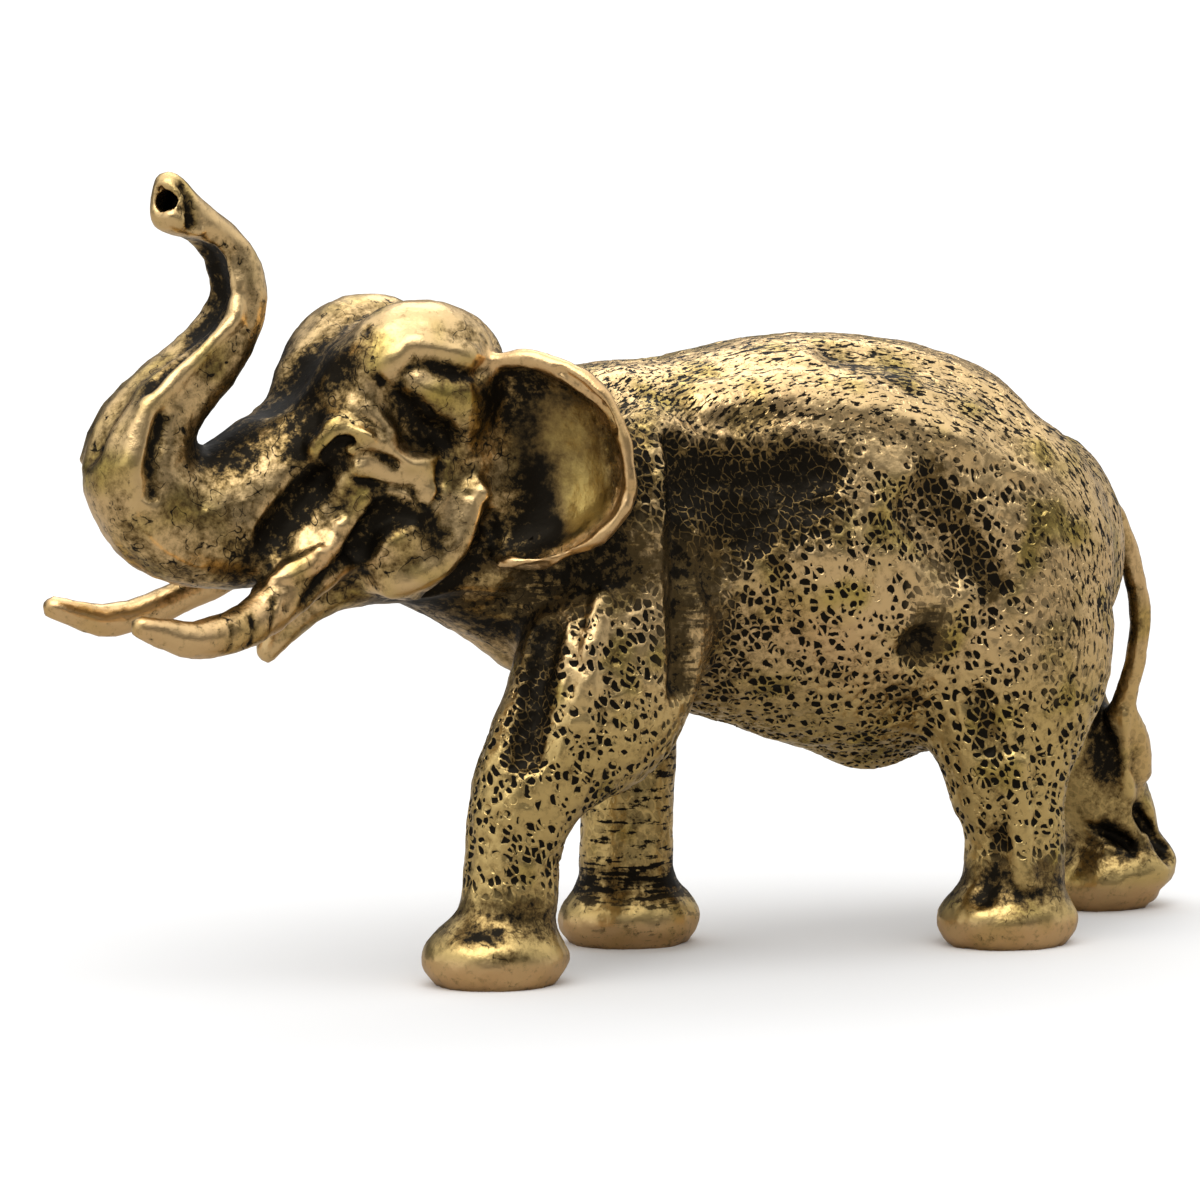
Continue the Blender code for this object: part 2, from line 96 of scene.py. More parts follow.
# The right hind foot's sole rises towards its heel from this place on.
HEEL_LIFT_X, HEEL_LIFT = 30.8, 0.2

# How dirty an open, level place is, and what shelter, hollows and fine cuts add to that.
LEVEL_DIRT = 0.41
SHELTER_OF_LEVEL, DIRT_BY_SHELTER = 0.16, 1.5
DIRT_BY_HOLLOW, DEEPEST_HOLLOW = 1.4, 0.3
DIRT_BY_CUT, DEEPEST_CUT = 2.0, 0.08

# Sizes in metres of the patina's patches, specks and cracks.
PATCH_SIZE, SPECK_SIZE, CRACK_SIZE = 0.0028, 0.00045, 0.0016

# The skin's slow ripple, its size in metres and its height in pit depths.
RIPPLE_SIZE, RIPPLE_HEIGHT = 0.0015, 3.2

# The pits' slant, how narrow they are, and how far and how often they bend.
PIT_SLANT, PIT_NARROWING = math.radians(35), 0.72
PIT_BEND, PIT_BEND_SIZE = 0.9, 1.6

# On clean and on dirty skin, in pit spacings: a pit's radius and half of the wall between two pits.
PIT_RADIUS = (0.40, 1.1)
WALL_HALF = (0.13, 0.03)

# The scores' grain over which they are open, on clean and on dirty skin, and their depth in pit depths.
SCORE_LEVEL, SCORE_DEPTH = (0.56, 0.40), 0.5

# The room's light in the brass: overhead, from either end, and all round.
CEILING_LIGHT, FRONT_WALL_LIGHT, BACK_WALL_LIGHT, LEAST_LIGHT = 1.02, 0.6, 0.5, 0.09


class CastingSizes(bpy.types.PropertyGroup):
    skin_grain: bpy.props.FloatProperty(
        name="Skin grain", description="Spacing of the points the modelling is carved in",
        default=0.00015, min=0.0001, unit="LENGTH")
    facet_passes: bpy.props.IntProperty(
        name="Facet passes", description="Passes that round off the solid's facets without shrinking it",
        default=24, min=0)
    pit_spacing: bpy.props.FloatProperty(
        name="Pit spacing", description="Distance between the pits of the cast surface",
        default=0.00043, min=0.0001, unit="LENGTH")
    pit_depth: bpy.props.FloatProperty(
        name="Pit depth", description="Depth of the pits of the cast surface",
        default=0.00009, min=0, unit="LENGTH")
    score_stretch: bpy.props.FloatProperty(
        name="Score stretch", description="Length over width of the pits on the back and rump",
        default=3.0, min=1)
    skin_triangles: bpy.props.IntProperty(
        name="Skin triangles", description="Triangles in the finished skin",
        default=196000, min=20000)


class BrassFinish(bpy.types.PropertyGroup):
    polished: bpy.props.FloatVectorProperty(
        name="Polished brass", description="Colour of the rubbed high spots",
        subtype="COLOR", size=4, min=0, max=1, default=(0.93, 0.655, 0.32, 1))
    olive: bpy.props.FloatVectorProperty(
        name="Aged brass", description="Greenish colour of brass that polishing seldom reaches",
        subtype="COLOR", size=4, min=0, max=1, default=(0.66, 0.49, 0.13, 1))
    smoky: bpy.props.FloatVectorProperty(
        name="Smoky brass", description="Brown brass at the edges of the patina",
        subtype="COLOR", size=4, min=0, max=1, default=(0.23, 0.15, 0.055, 1))
    copper: bpy.props.FloatVectorProperty(
        name="Copper blush", description="Warm tint on thin edges, tusks and soles",
        subtype="COLOR", size=4, min=0, max=1, default=(0.98, 0.60, 0.29, 1))
    # This colour also darkens the painted shade laid in with the patina.
    patina: bpy.props.FloatVectorProperty(
        name="Patina", description="Colour of the dark patina in hollows and pits",
        subtype="COLOR", size=4, min=0, max=1, default=(0.012, 0.009, 0.005, 1))
    polished_roughness: bpy.props.FloatProperty(
        name="Polished roughness", description="Roughness of the rubbed brass",
        default=0.3, min=0, max=1, subtype="FACTOR")
    patina_roughness: bpy.props.FloatProperty(
        name="Patina roughness", description="Roughness of the patina",
        default=0.5, min=0, max=1, subtype="FACTOR")


class StudioSetup(bpy.types.PropertyGroup):
    floor_radius: bpy.props.FloatProperty(
        name="Floor radius", description="Reach of the pale floor", default=12.0, unit="LENGTH")
    floor_colour: bpy.props.FloatVectorProperty(
        name="Floor colour", description="Colour of the pale floor",
        subtype="COLOR", size=4, min=0, max=1, default=(0.9, 0.9, 0.9, 1))
    floor_in_metal: bpy.props.FloatVectorProperty(
        name="Floor in the metal", description="How the floor shows in the brass",
        subtype="COLOR", size=4, min=0, max=1, default=(0.38, 0.36, 0.335, 1))
    room_light: bpy.props.FloatProperty(
        name="Room light", description="Light that the whole room gives to the floor", default=0.9)
    key_strength: bpy.props.FloatProperty(
        name="Key strength", description="Strength of the large soft light above", default=1.0)
    key_spread: bpy.props.FloatProperty(
        name="Key spread", description="Width of the key light as seen from the figure",
        default=math.radians(55), subtype="ANGLE")
    azimuth: bpy.props.FloatProperty(
        name="Camera azimuth", description="Turn of the camera from straight in front of the left side",
        default=math.radians(-28), subtype="ANGLE")
    elevation: bpy.props.FloatProperty(
        name="Camera elevation", description="Height angle of the camera",
        default=math.radians(5.5), subtype="ANGLE")
    distance: bpy.props.FloatProperty(
        name="Camera distance", description="From the camera to the figure", default=0.365, unit="LENGTH")
    aim_height: bpy.props.FloatProperty(
        name="Aim height", description="Height of the point in the middle of the view",
        default=0.0181, unit="LENGTH")
    lens: bpy.props.FloatProperty(
        name="Lens", description="Focal length on a 36 mm sensor", default=219.0, unit="CAMERA")


# Modelling. Each path is a row of (x, y, z), and each stroke is a path, its reach to either side and its
# height, all in millimetres. A stroke with a height under 0 is cut in. Strokes for both sides are written for
# the left side.

# Paths on the head.
BROW = [(-17.6, -3.8, 26.6), (-16.9, -4.1, 27.3), (-16.2, -4.4, 27.6), (-15.5, -4.7, 27.2),
        (-14.6, -4.8, 26.7), (-12.9, -4.9, 25.7), (-11.7, -5.1, 26.1)]
UNDER_BROW = [(-17.2, -4.2, 26.2), (-16.6, -4.5, 26.9), (-15.9, -4.7, 27.0), (-15.2, -4.8, 26.6),
              (-13.8, -4.9, 25.8)]
CHEEK_PLATE = [(-15.4, -4.7, 25.6), (-14.0, -4.8, 25.2), (-12.2, -5.0, 25.1), (-11.8, -5.1, 24.4)]
PLATE_EDGE = [(-15.9, -4.6, 25.1), (-14.5, -4.7, 24.7), (-12.9, -5.0, 24.5), (-12.7, -5.2, 23.8),
              (-12.2, -5.2, 23.6), (-11.7, -5.2, 24.1)]
PLATE_CRACK = [(-11.4, -5.1, 25.9), (-11.6, -5.2, 24.1)]
CHEEK_STEP = [(-10.9, -5.3, 25.9), (-11.0, -5.4, 24.3), (-10.0, -5.5, 24.2)]
TEMPLE_PIT = [(-14.0, -5.6, 28.8), (-13.1, -5.5, 27.4), (-11.6, -5.3, 26.6)]
TEMPLE_CRACK = [(-14.1, -5.5, 29.2), (-12.8, -5.6, 28.5), (-11.7, -5.6, 27.5), (-10.9, -5.5, 26.2)]
FOREHEAD_CRACK = [(-14.7, -3.6, 32.3), (-14.8, -4.4, 30.9), (-14.6, -5.0, 29.6)]
DOME_RIM = [(-14.5, -5.4, 29.8), (-14.0, -5.5, 30.7), (-13.3, -5.5, 31.6), (-11.9, -5.9, 31.3),
            (-10.1, -6.0, 30.6)]
UNDER_DOME = [(-14.0, -5.5, 29.7), (-13.0, -5.6, 30.6), (-11.8, -5.9, 30.4), (-10.4, -6.0, 29.9)]
JAW_RIM = [(-9.6, -5.4, 24.0), (-10.0, -5.2, 22.2), (-11.6, -5.1, 20.6), (-13.3, -4.6, 19.9),
           (-14.2, -3.0, 19.5)]
LIP_RIDGE = [(-15.5, -4.1, 23.5), (-16.6, -3.9, 22.1), (-18.1, -4.3, 20.8), (-19.9, -4.1, 20.3)]
FACE_HOLLOW = [(-18.3, -3.6, 24.1), (-19.1, -3.5, 23.1), (-19.6, -3.4, 22.4)]
CHEEK_PIT = [(-14.3, -4.8, 23.4), (-15.0, -4.5, 22.8), (-15.6, -4.0, 21.7)]
MOUTH = [(-15.6, -4.0, 21.7), (-17.4, -4.4, 20.5), (-18.5, -4.5, 19.3)]
NECK_FOLD = [(-11.4, -3.8, 18.9), (-9.8, -4.9, 20.9), (-9.3, -5.5, 21.9)]

# Paths on the ears.
EAR_RIM = [(-9.2, -5.0, 30.5), (-7.2, -6.6, 30.7), (-4.8, -8.7, 29.2), (-3.9, -9.8, 26.9),
           (-3.8, -10.1, 24.2), (-5.0, -9.4, 22.3), (-7.0, -7.6, 21.1), (-8.9, -6.0, 20.8)]
EAR_SLIT = [(-6.5, -8.1, 30.2), (-5.7, -8.7, 29.4), (-4.8, -9.2, 28.4), (-4.4, -9.5, 27.4)]
EAR_INSIDE = [(-7.6, -6.2, 29.9), (-5.6, -7.9, 28.6), (-4.8, -8.9, 26.6), (-4.7, -9.2, 24.4),
              (-5.6, -8.6, 22.8), (-7.2, -7.2, 21.6)]
EAR_FRONT = [(-9.5, -5.8, 27.4), (-9.5, -5.8, 25.9), (-9.3, -5.7, 24.2)]
EAR_ROOT = [(-8.4, -6.0, 26.4), (-8.4, -6.0, 25.0), (-8.5, -6.1, 23.4), (-8.6, -6.0, 22.2)]
EAR_CUP = [(-8.2, -6.1, 28.8), (-7.1, -6.5, 25.3), (-7.2, -6.7, 22.8)]
EAR_BACK = [(-6.6, -7.0, 27.1), (-6.1, -7.4, 24.9), (-6.0, -7.8, 23.4)]

# Paths on the trunk and tusks.
TIP_GROOVE = [(-23.5, -1.4, 39.3), (-23.3, -1.6, 38.9), (-23.2, -1.7, 37.9), (-23.2, -1.6, 37.4)]
TRUNK_FRONT = [(-21.0, 0.4, 35.6), (-21.0, 0.6, 33.6), (-21.8, 0.3, 32.2)]
TRUNK_RIDGE = [(-20.6, -1.6, 34.6), (-20.8, -1.7, 32.8), (-23.3, -1.8, 30.7), (-25.7, -2.0, 28.7),
               (-26.6, -2.4, 25.5), (-26.4, -2.5, 24.0)]
TRUNK_INNER = [(-25.0, -2.4, 28.2), (-25.7, -2.6, 26.2), (-25.7, -2.7, 24.6)]
TRUNK_SEAM = [(-26.6, -2.2, 23.6), (-25.0, -2.4, 21.8), (-22.6, -2.7, 20.4), (-20.4, -3.0, 19.9)]
TRUNK_GROOVE = [(-21.5, -0.8, 36.3), (-20.9, -0.7, 34.7), (-21.6, -1.0, 32.8), (-23.1, -1.4, 31.4),
                (-25.4, -1.7, 29.5)]
TUSK = [(-16.5, -2.9, 21.2), (-19.0, -3.4, 19.6), (-21.5, -4.2, 18.2), (-24.6, -4.9, 17.7),
        (-27.5, -5.2, 18.5)]

# Paths on the body, legs and tail, and the middles of the feet as (x, y).
SHOULDER_CREASE = [(0.7, -6.5, 26.5), (0.2, -7.6, 22.7), (-0.2, -7.9, 18.8), (0, -7.9, 14.3)]
FLANK_UPPER = [(2.0, -6.9, 25.0), (5.0, -7.1, 24.8), (8.8, -7.3, 24.8)]
FLANK_LOWER = [(2.2, -7.4, 22.6), (4.8, -7.3, 22.2), (7.6, -7.4, 22.3)]
HIP_HOLLOW = [(14.6, -8.0, 24.2), (16.2, -8.2, 22.4), (17.4, -8.2, 20.2), (18.0, -8.1, 18.8)]
CREST = [(3.4, -4.3, 28.8), (7.7, -4.6, 29.4), (11.7, -5.7, 28.8), (16.8, -6.8, 26.7), (20.6, -7.4, 23.9)]
FORE_HOLLOW = [(-6.6, -6.1, 17.0), (-7.4, -6.7, 14.1), (-8.2, -7.1, 11.2)]
FORE_RIDGE = [(-3.8, -7.2, 18.9), (-4.7, -7.8, 16.5), (-6.4, -7.9, 11.2)]
HIND_RIDGE = [(19.5, -7.5, 9.7), (20.0, -7.1, 6.1), (20.3, -7.2, 3.6)]
HOCK_RIDGE = [(31.3, 0.7, 10.6), (32.4, 2.1, 6.4)]
HOCK_FOLD = [(30.6, 2.9, 4.5), (31.7, 2.8, 4.1), (32.8, 2.6, 3.6)]
HEEL_FOLD = [(33.5, 2.9, 5.0), (34.4, 2.9, 4.0), (35.2, 2.7, 3.2)]
TAIL = [(29.6, 0, 22.2), (31.3, 0, 19.6), (32.1, 0, 16.4), (31.9, 0.4, 13.4), (31.6, 1.2, 11.0),
        (32.6, 2.0, 9.2), (33.4, 2.6, 7.4)]
FEET = [(-8.5, -5.0), (4.1, 4.6), (20.9, -4.9), (32.8, 4.6)]

BOTH_SIDES_STROKES = [
    # Brow and eye.
    (BROW, 0.5, 0.08),
    ([(-16.9, -4.0, 28.2), (-16.0, -4.3, 28.5), (-15.0, -4.6, 28.0), (-14.1, -4.9, 27.3)], 1.0, 0.35),
    (UNDER_BROW, 0.45, -0.4),
    ([(-17.4, -4.0, 25.0), (-16.7, -4.5, 25.9)], 0.7, -0.3),
    ([(-16.3, -4.8, 26.5)], 0.45, 0.3),
    ([(-15.8, -4.8, 25.7)], 0.45, 0.2),
    # Cheek, temple and forehead.
    (CHEEK_PLATE, 0.9, 0.16),
    (PLATE_EDGE, 0.28, -0.24),
    (PLATE_CRACK, 0.3, -0.34),
    (CHEEK_STEP, 0.25, -0.16),
    (TEMPLE_PIT, 0.8, -0.15),
    (UNDER_DOME, 1.3, 0.3),
    ([(-10.5, -5.5, 29.2), (-10.4, -5.5, 27.4), (-10.3, -5.5, 26.4)], 1.2, 0.25),
    (TEMPLE_CRACK, 0.35, -0.35),
    (FOREHEAD_CRACK, 0.25, -0.14),
    (DOME_RIM, 0.6, 0.14),
    # Jaw, lip and neck.
    (JAW_RIM, 0.6, 0.12),
    (LIP_RIDGE, 0.6, 0.3),
    ([(-16.6, -4.3, 22.9)], 0.5, 0.22),
    ([(-17.7, -4.5, 21.6)], 0.45, 0.2),
    (FACE_HOLLOW, 1.1, -0.35),
    (CHEEK_PIT, 0.9, -0.3),
    ([(-13.1, -5.2, 23.3), (-12.2, -5.3, 22.8)], 0.9, -0.22),
    (MOUTH, 0.4, -0.25),
    (NECK_FOLD, 0.7, -0.3),
    # Ear.
    (EAR_RIM[:5], 0.95, -0.1),
    (EAR_RIM[4:], 0.95, -0.26),
    (EAR_INSIDE, 0.6, -0.3),
    ([(-6.6, -8.0, 21.4), (-5.6, -8.9, 22.0)], 0.7, -0.12),
    ([(-8.3, -6.5, 20.9)], 0.8, 0.2),
    (EAR_SLIT, 0.45, -0.35),
    (EAR_FRONT, 0.55, 0.3),
    (EAR_ROOT, 0.5, 0.3),
    ([(-8.9, -5.9, 27.6), (-8.9, -5.9, 25.0), (-9.0, -5.9, 22.4)], 0.4, -0.3),
    (EAR_CUP, 1.3, -0.4),
    ([(-6.3, -7.6, 23.9), (-6.2, -7.4, 22.6)], 0.3, -0.12),
    ([(-5.6, -8.2, 23.9), (-5.6, -8.1, 22.5)], 0.3, -0.12),
    # Trunk, tusk and the wrinkles between.
    (TRUNK_SEAM, 0.5, 0.1),
    ([(-19.4, -3.0, 27.0), (-20.2, -3.1, 26.2), (-20.4, -3.2, 25.2)], 0.3, -0.2),
    ([(-20.6, -2.6, 26.6), (-21.4, -2.9, 25.6)], 0.3, -0.15),
    ([(-18.6, -3.2, 27.6), (-19.2, -3.3, 26.8)], 0.3, -0.15),
    ([(-18.2, -3.0, 28.4), (-19.6, -2.6, 27.4), (-21.2, -2.2, 26.8)], 0.4, 0.2),
    ([(-21.7, -5.3, 18.8), (-21.8, -5.1, 17.4)], 0.22, -0.12),
    ([(-22.9, -5.6, 18.6), (-23.0, -5.4, 17.2)], 0.22, -0.1),
    ([(-20.3, -4.8, 19.6), (-20.6, -4.9, 18.2)], 0.25, -0.15),
    ([(-19.4, -4.9, 20.2), (-19.7, -4.9, 18.9)], 0.3, -0.18),
    ([(-22.9, -2.9, 24.9), (-23.4, -2.8, 23.2), (-23.0, -2.6, 21.7)], 0.35, -0.1),
    ([(-21.6, -3.1, 24.9), (-22.0, -3.0, 23.2), (-21.6, -2.8, 21.6)], 0.35, -0.1),
    ([(-20.3, -3.3, 25.0), (-20.6, -3.2, 23.4)], 0.35, -0.1),
    ([(-17.2, -4.6, 20.2), (-17.9, -4.9, 20.9)], 0.3, -0.2),
    ([(-18.2, -4.8, 19.3), (-18.8, -5.0, 20.3)], 0.3, -0.22),
    # Shoulder, flank and hip.
    (SHOULDER_CREASE, 0.7, -0.16),
    (FLANK_UPPER, 1.6, -0.25),
    (FLANK_LOWER, 1.8, -0.2),
    ([(2.2, -7.0, 24.2), (5.5, -7.2, 23.5), (9.4, -7.5, 23.4)], 0.5, 0.25),
    (HIP_HOLLOW, 1.4, -0.25),
    (CREST, 0.8, 0.15),
]

LEFT_STROKES = [
    (TRUNK_RIDGE, 0.6, 0.22),
    (TRUNK_INNER, 0.6, -0.3),
    (FORE_HOLLOW, 0.9, -0.25),
    (FORE_RIDGE, 0.6, 0.2),
    (HIND_RIDGE, 0.6, 0.2),
]

SINGLE_STROKES = [
    (TRUNK_GROOVE, 0.6, -0.25),
    (HOCK_RIDGE, 0.5, 0.25),
    (HOCK_FOLD, 0.4, -0.3),
    (HEEL_FOLD, 0.4, -0.3),
    ([(31.4, 2.6, 3.3), (32.5, 2.4, 2.9)], 0.5, 0.25),
    ([(33.9, 2.4, 3.9), (34.7, 2.4, 3.0)], 0.5, 0.25),
    ([(-24.2, -1.6, 37.8), (-23.7, -1.6, 37.4)], 0.7, 0.2),
    ([(-22.7, -1.6, 37.0)], 0.5, 0.3),
    (TIP_GROOVE, 0.4, -0.35),
    ([(-24.4, -0.9, 39.1)], 0.3, -0.3),
    ([(-23.7, -1.7, 38.2)], 0.3, -0.25),
]

# Stains of patina, with painted shade, painted dark reflections and painted highlights among them where
# marked:
# (path, reach, strength). Strengths under 0 are made bright, as rubbed brass and as painted highlights.
BOTH_SIDES_STAINS_AND_SHADING = [
    # The flank's two hollows: patina, with a painted dark reflection laid over it.
    (FLANK_UPPER, 2.3, 0.75),
    (FLANK_LOWER, 2.6, 0.7),
    ([(2.0, -7.4, 19.5), (3.4, -7.2, 17.8)], 1.8, 0.4),
    (HIP_HOLLOW, 1.6, 0.6),
    ([(1.9, -7.3, 20.8), (1.8, -7.3, 18.6), (2.1, -6.9, 14.6)], 1.7, 0.3),
    ([(14.6, -7.5, 17.0), (14.6, -7.4, 15.6)], 1.3, 0.65),
    ([(12.6, -6.6, 13.0), (14.4, -6.3, 12.7)], 1.6, 0.45),
    ([(14.0, -5.7, 28.8), (11.6, -4.6, 29.9)], 1.5, 0.3),
    # Patina in the shoulder crease, with painted shade along it.
    (SHOULDER_CREASE, 1.3, 0.4),
    ([(-1.8, -6.8, 20.6), (-3.6, -6.6, 20.0), (-5.2, -5.8, 19.4)], 2.0, 0.5),
    ([(-9.6, -2.5, 18.3), (-7.4, -3.5, 17.8), (-5.9, -5.5, 17.0)], 2.4, 0.35),
    ([(-12.4, -1.6, 18.7), (-9.6, -1.0, 18.2), (-7.8, -2.0, 16.6)], 2.2, 0.4),
    ([(-2.6, -7.0, 25.6), (-2.9, -7.0, 23.2)], 1.1, 0.5),
    (TEMPLE_PIT, 0.9, 0.75),
    # A painted highlight: the lit plane of the temple, made bright.
    ([(-12.4, -5.7, 29.4), (-10.4, -5.6, 28.6)], 1.3, -0.3),
    (TEMPLE_CRACK, 0.5, 0.5),
    (UNDER_DOME, 0.7, 0.3),
    (FOREHEAD_CRACK, 0.4, 0.5),
    ([(-11.4, 0, 33.4), (-14.5, 0, 32.4), (-16.5, 0, 30.6), (-18.0, 0, 28.6)], 1.6, 0.25),
    ([(-10.4, -5.6, 31.6), (-9.6, -4.9, 32.4)], 1.0, 0.35),
    ([(-17.9, -4.0, 24.6), (-18.6, -3.6, 23.7)], 1.4, 0.85),
    ([(-19.8, -3.4, 22.6), (-20.6, -3.3, 21.6)], 1.2, 0.45),
    ([(-15.5, -3.6, 30.2)], 1.4, 0.5),
    ([(-12.4, -5.2, 23.0), (-11.5, -5.3, 21.8)], 1.0, 0.45),
    ([(-11.6, -5.1, 21.6), (-12.9, -4.8, 20.8)], 0.5, 0.4),
    (TRUNK_INNER, 0.6, 0.45),
    ([(-26.8, -1.6, 24.0), (-26.0, -1.6, 22.4), (-23.6, -2.0, 20.8)], 0.9, 0.35),
    ([(-18.2, -3.0, 28.4), (-19.6, -2.6, 27.2), (-21.2, -2.4, 26.2)], 0.9, 0.3),
    ([(-17.6, -3.9, 25.0), (-16.9, -4.5, 25.9)], 0.9, 0.7),
    (UNDER_BROW, 0.5, 0.5),
    (CHEEK_PIT, 1.4, 0.7),
    ([(-13.1, -5.2, 23.3), (-12.2, -5.3, 22.8)], 1.1, 0.45),
    (PLATE_EDGE, 0.35, 0.5),
    (PLATE_CRACK, 0.35, 0.7),
    (MOUTH, 0.8, 0.5),
    (NECK_FOLD, 1.6, 0.5),
    (EAR_CUP, 2.0, 1.0),
    ([(-8.9, -5.9, 27.6), (-8.9, -5.9, 25.0), (-9.0, -5.9, 22.4)], 0.8, 0.6),
    (EAR_SLIT, 0.5, 0.9),
    ([(-16.4, -3.0, 30.6), (-17.4, -2.4, 28.8)], 1.4, 0.35),
    ([(-18.6, -3.4, 26.2), (-17.6, -3.6, 27.6)], 1.2, 0.35),
    ([(-13.0, -5.7, 28.9), (-11.4, -5.6, 28.2), (-10.2, -5.5, 26.8)], 1.5, 0.3),
    # A painted highlight: the lit patch inside the ear, made bright.
    ([(-5.1, -9.5, 23.7)], 1.1, -0.6),
    (BROW, 0.5, -0.5),
    (CHEEK_PLATE, 0.8, -0.35),
    (JAW_RIM, 0.7, -0.5),
    (LIP_RIDGE, 0.5, -0.45),
    ([(-19.2, -3.9, 21.8), (-18.4, -4.0, 22.3)], 1.1, -0.5),
    ([(-21.7, -5.3, 18.8), (-21.8, -5.1, 17.4)], 0.3, 0.6),
    ([(-22.9, -5.6, 18.6), (-23.0, -5.4, 17.2)], 0.3, 0.5),
    ([(-20.3, -4.8, 19.6), (-20.6, -4.9, 18.2)], 0.35, 0.6),
    (DOME_RIM, 0.5, -0.25),
    ([(-11.9, -4.1, 33.4), (-13.4, -4.6, 32.6)], 2.2, -0.3),
    (EAR_RIM, 1.0, -0.8),
    (EAR_FRONT, 0.5, -0.35),
    (EAR_ROOT, 0.5, -0.45),
    (EAR_BACK, 1.8, -0.8),
    (TUSK, 2.2, -0.12),
    (TRUNK_RIDGE, 0.7, -0.3),
    (CREST, 1.2, -0.3),
    ([(8.7, -7.9, 20.0), (9.6, -7.9, 18.0)], 2.6, -0.15),
]

SINGLE_STAINS_AND_SHADING = [
    (TRUNK_GROOVE, 1.0, 0.6),
    (TRUNK_FRONT, 1.5, 0.5),
    (TIP_GROOVE, 0.4, 0.8),
    ([(-24.4, -0.9, 39.1)], 0.3, 0.9),
    ([(-23.7, -1.7, 38.2)], 0.3, 0.7),
    ([(-11.2, -6.6, 2.8), (-9.8, -7.4, 2.7)], 0.8, 0.5),
    ([(-9.8, -8.1, 1.7), (-8.4, -8.4, 1.7)], 0.6, 0.7),
    ([(-12.3, -5.4, 1.8)], 0.6, 0.5),
    ([(18.6, -8.0, 2.0), (19.8, -8.3, 1.6)], 0.7, 0.6),
    ([(31.2, 2.2, 9.0), (31.6, 2.2, 5.0)], 2.0, 0.45),
    # The fore leg's dark band: patina in its hollow, with a painted dark reflection over it.
    (FORE_HOLLOW, 1.4, 0.95),
    (FORE_RIDGE, 0.7, -0.3),
    ([(17.8, -7.2, 12.8), (18.5, -7.1, 10.8)], 1.3, 0.1),
    ([(19.4, -6.7, 6.1), (18.5, -6.6, 2.6)], 1.1, 0.6),
    (HIND_RIDGE, 0.7, -0.35),
    ([(30.6, 1.6, 10.2), (31.0, 1.8, 8.0)], 1.6, 0.6),
    (HOCK_FOLD, 0.4, 0.45),
    (HEEL_FOLD, 0.4, 0.45),
    (HOCK_RIDGE, 0.5, -0.4),
]

# Fine level lines left by the wax tool, and places with a copper blush, as (path, reach, strength).
BOTH_SIDES_BANDS = [
    ([(1.6, -7.6, 19.5), (1.4, -7.6, 16.0), (1.6, -7.2, 13.5)], 2.8, 0.8),
    ([(14.6, -7.8, 19.0), (14.6, -7.5, 16.0)], 1.6, 0.8),
    ([(-5.6, -5.8, 20.4), (-3.6, -6.4, 19.8), (-1.6, -7.0, 21.0)], 2.4, 0.7),
    ([(-7.0, -4.5, 18.4), (-10.0, -3.4, 18.6), (-12.0, -3.0, 18.6)], 3.2, 0.8),
]
SINGLE_BANDS = [
    ([(4.1, 4.6, 14.0), (3.9, 4.6, 3.0)], 5.0, 1.6),
]
BOTH_SIDES_BLUSH = [
    ([(6.5, -7.8, 17.0), (9.5, -7.8, 15.4)], 2.4, 0.55),
    ([(11.0, -7.0, 13.6), (12.6, -6.8, 13.4)], 1.8, 0.5),
    ([(-15.6, -4.4, 21.6), (-17.6, -4.6, 20.6)], 1.6, 0.8),
    ([(3.0, -6.8, 27.0), (7.0, -6.2, 27.4)], 2.4, 0.3),
]


def on_figure(path, side=LEFT):
    """A path in millimetres from the shoulders as metres in the frame, turned to that side."""
    places = np.array(path, float)
    places[:, 0] += SHOULDER_X
    places[:, 1] *= -side
    return places * MM


def read(collection, name, width=3):
    """The named values of every item in a mesh's collection, one row for each."""
    values = np.empty(len(collection) * width)
    collection.foreach_get(name, values)
    return values.reshape(-1, width)


def move_to(mesh, places):
    mesh.vertices.foreach_set("co", places.ravel())
    mesh.update()


def edge_ends(mesh):
    ends = np.empty(len(mesh.edges) * 2, dtype=np.int32)
    mesh.edges.foreach_get("vertices", ends)
    return ends[::2], ends[1::2]


def neighbour_mean(values, ends):
    """Each point's mean of its neighbours' values."""
    first, second = ends
    count = len(values)
    shared = np.bincount(first, minlength=count) + np.bincount(second, minlength=count)
    columns = [
        np.bincount(first, column[second], count) + np.bincount(second, column[first], count)
        for column in values.T
    ]
    return np.array(columns).T / shared[:, None]


def blurred(values, ends, passes):
    """The values, one or more for each point, evened out along the skin."""
    rows = values.reshape(len(values), -1)
    for _ in range(passes):
        rows = 0.2 * rows + 0.8 * neighbour_mean(rows, ends)
    return rows.reshape(values.shape)


def rounded_off(places, ends, passes, inward=0.6, outward=0.62):
    """Facets rounded off: each pass evens the skin out and then swells it back by a little more."""
    for _ in range(passes):
        places = places + inward * (neighbour_mean(places, ends) - places)
        places = places - outward * (neighbour_mean(places, ends) - places)
    return places


def beside_line(places, start, end):
    """How far along a line each place is, 0 to 1, and its way there from the line."""
    run = end - start
    share = np.clip((places - start) @ run / (run @ run), 0, 1)
    return share, places - start - share[:, None] * run


def nearest(places, path):
    """Distance from each place to the path, a row of one or more points."""
    if len(path) == 1:
        return np.linalg.norm(places - path[0], axis=1)
    lines = zip(path, path[1:])
    return np.min([np.linalg.norm(beside_line(places, *line)[1], axis=1) for line in lines], axis=0)


def share_of(places, path, reach):
    """Which places a stroke touches, and how strongly: 1 on its path, 0 at its reach."""
    near = np.all((places > path.min(axis=0) - reach) & (places < path.max(axis=0) + reach), axis=1)
    near = np.nonzero(near)[0]
    return near, np.clip(1 - (nearest(places[near], path) / reach) ** 2, 0, 1) ** 2


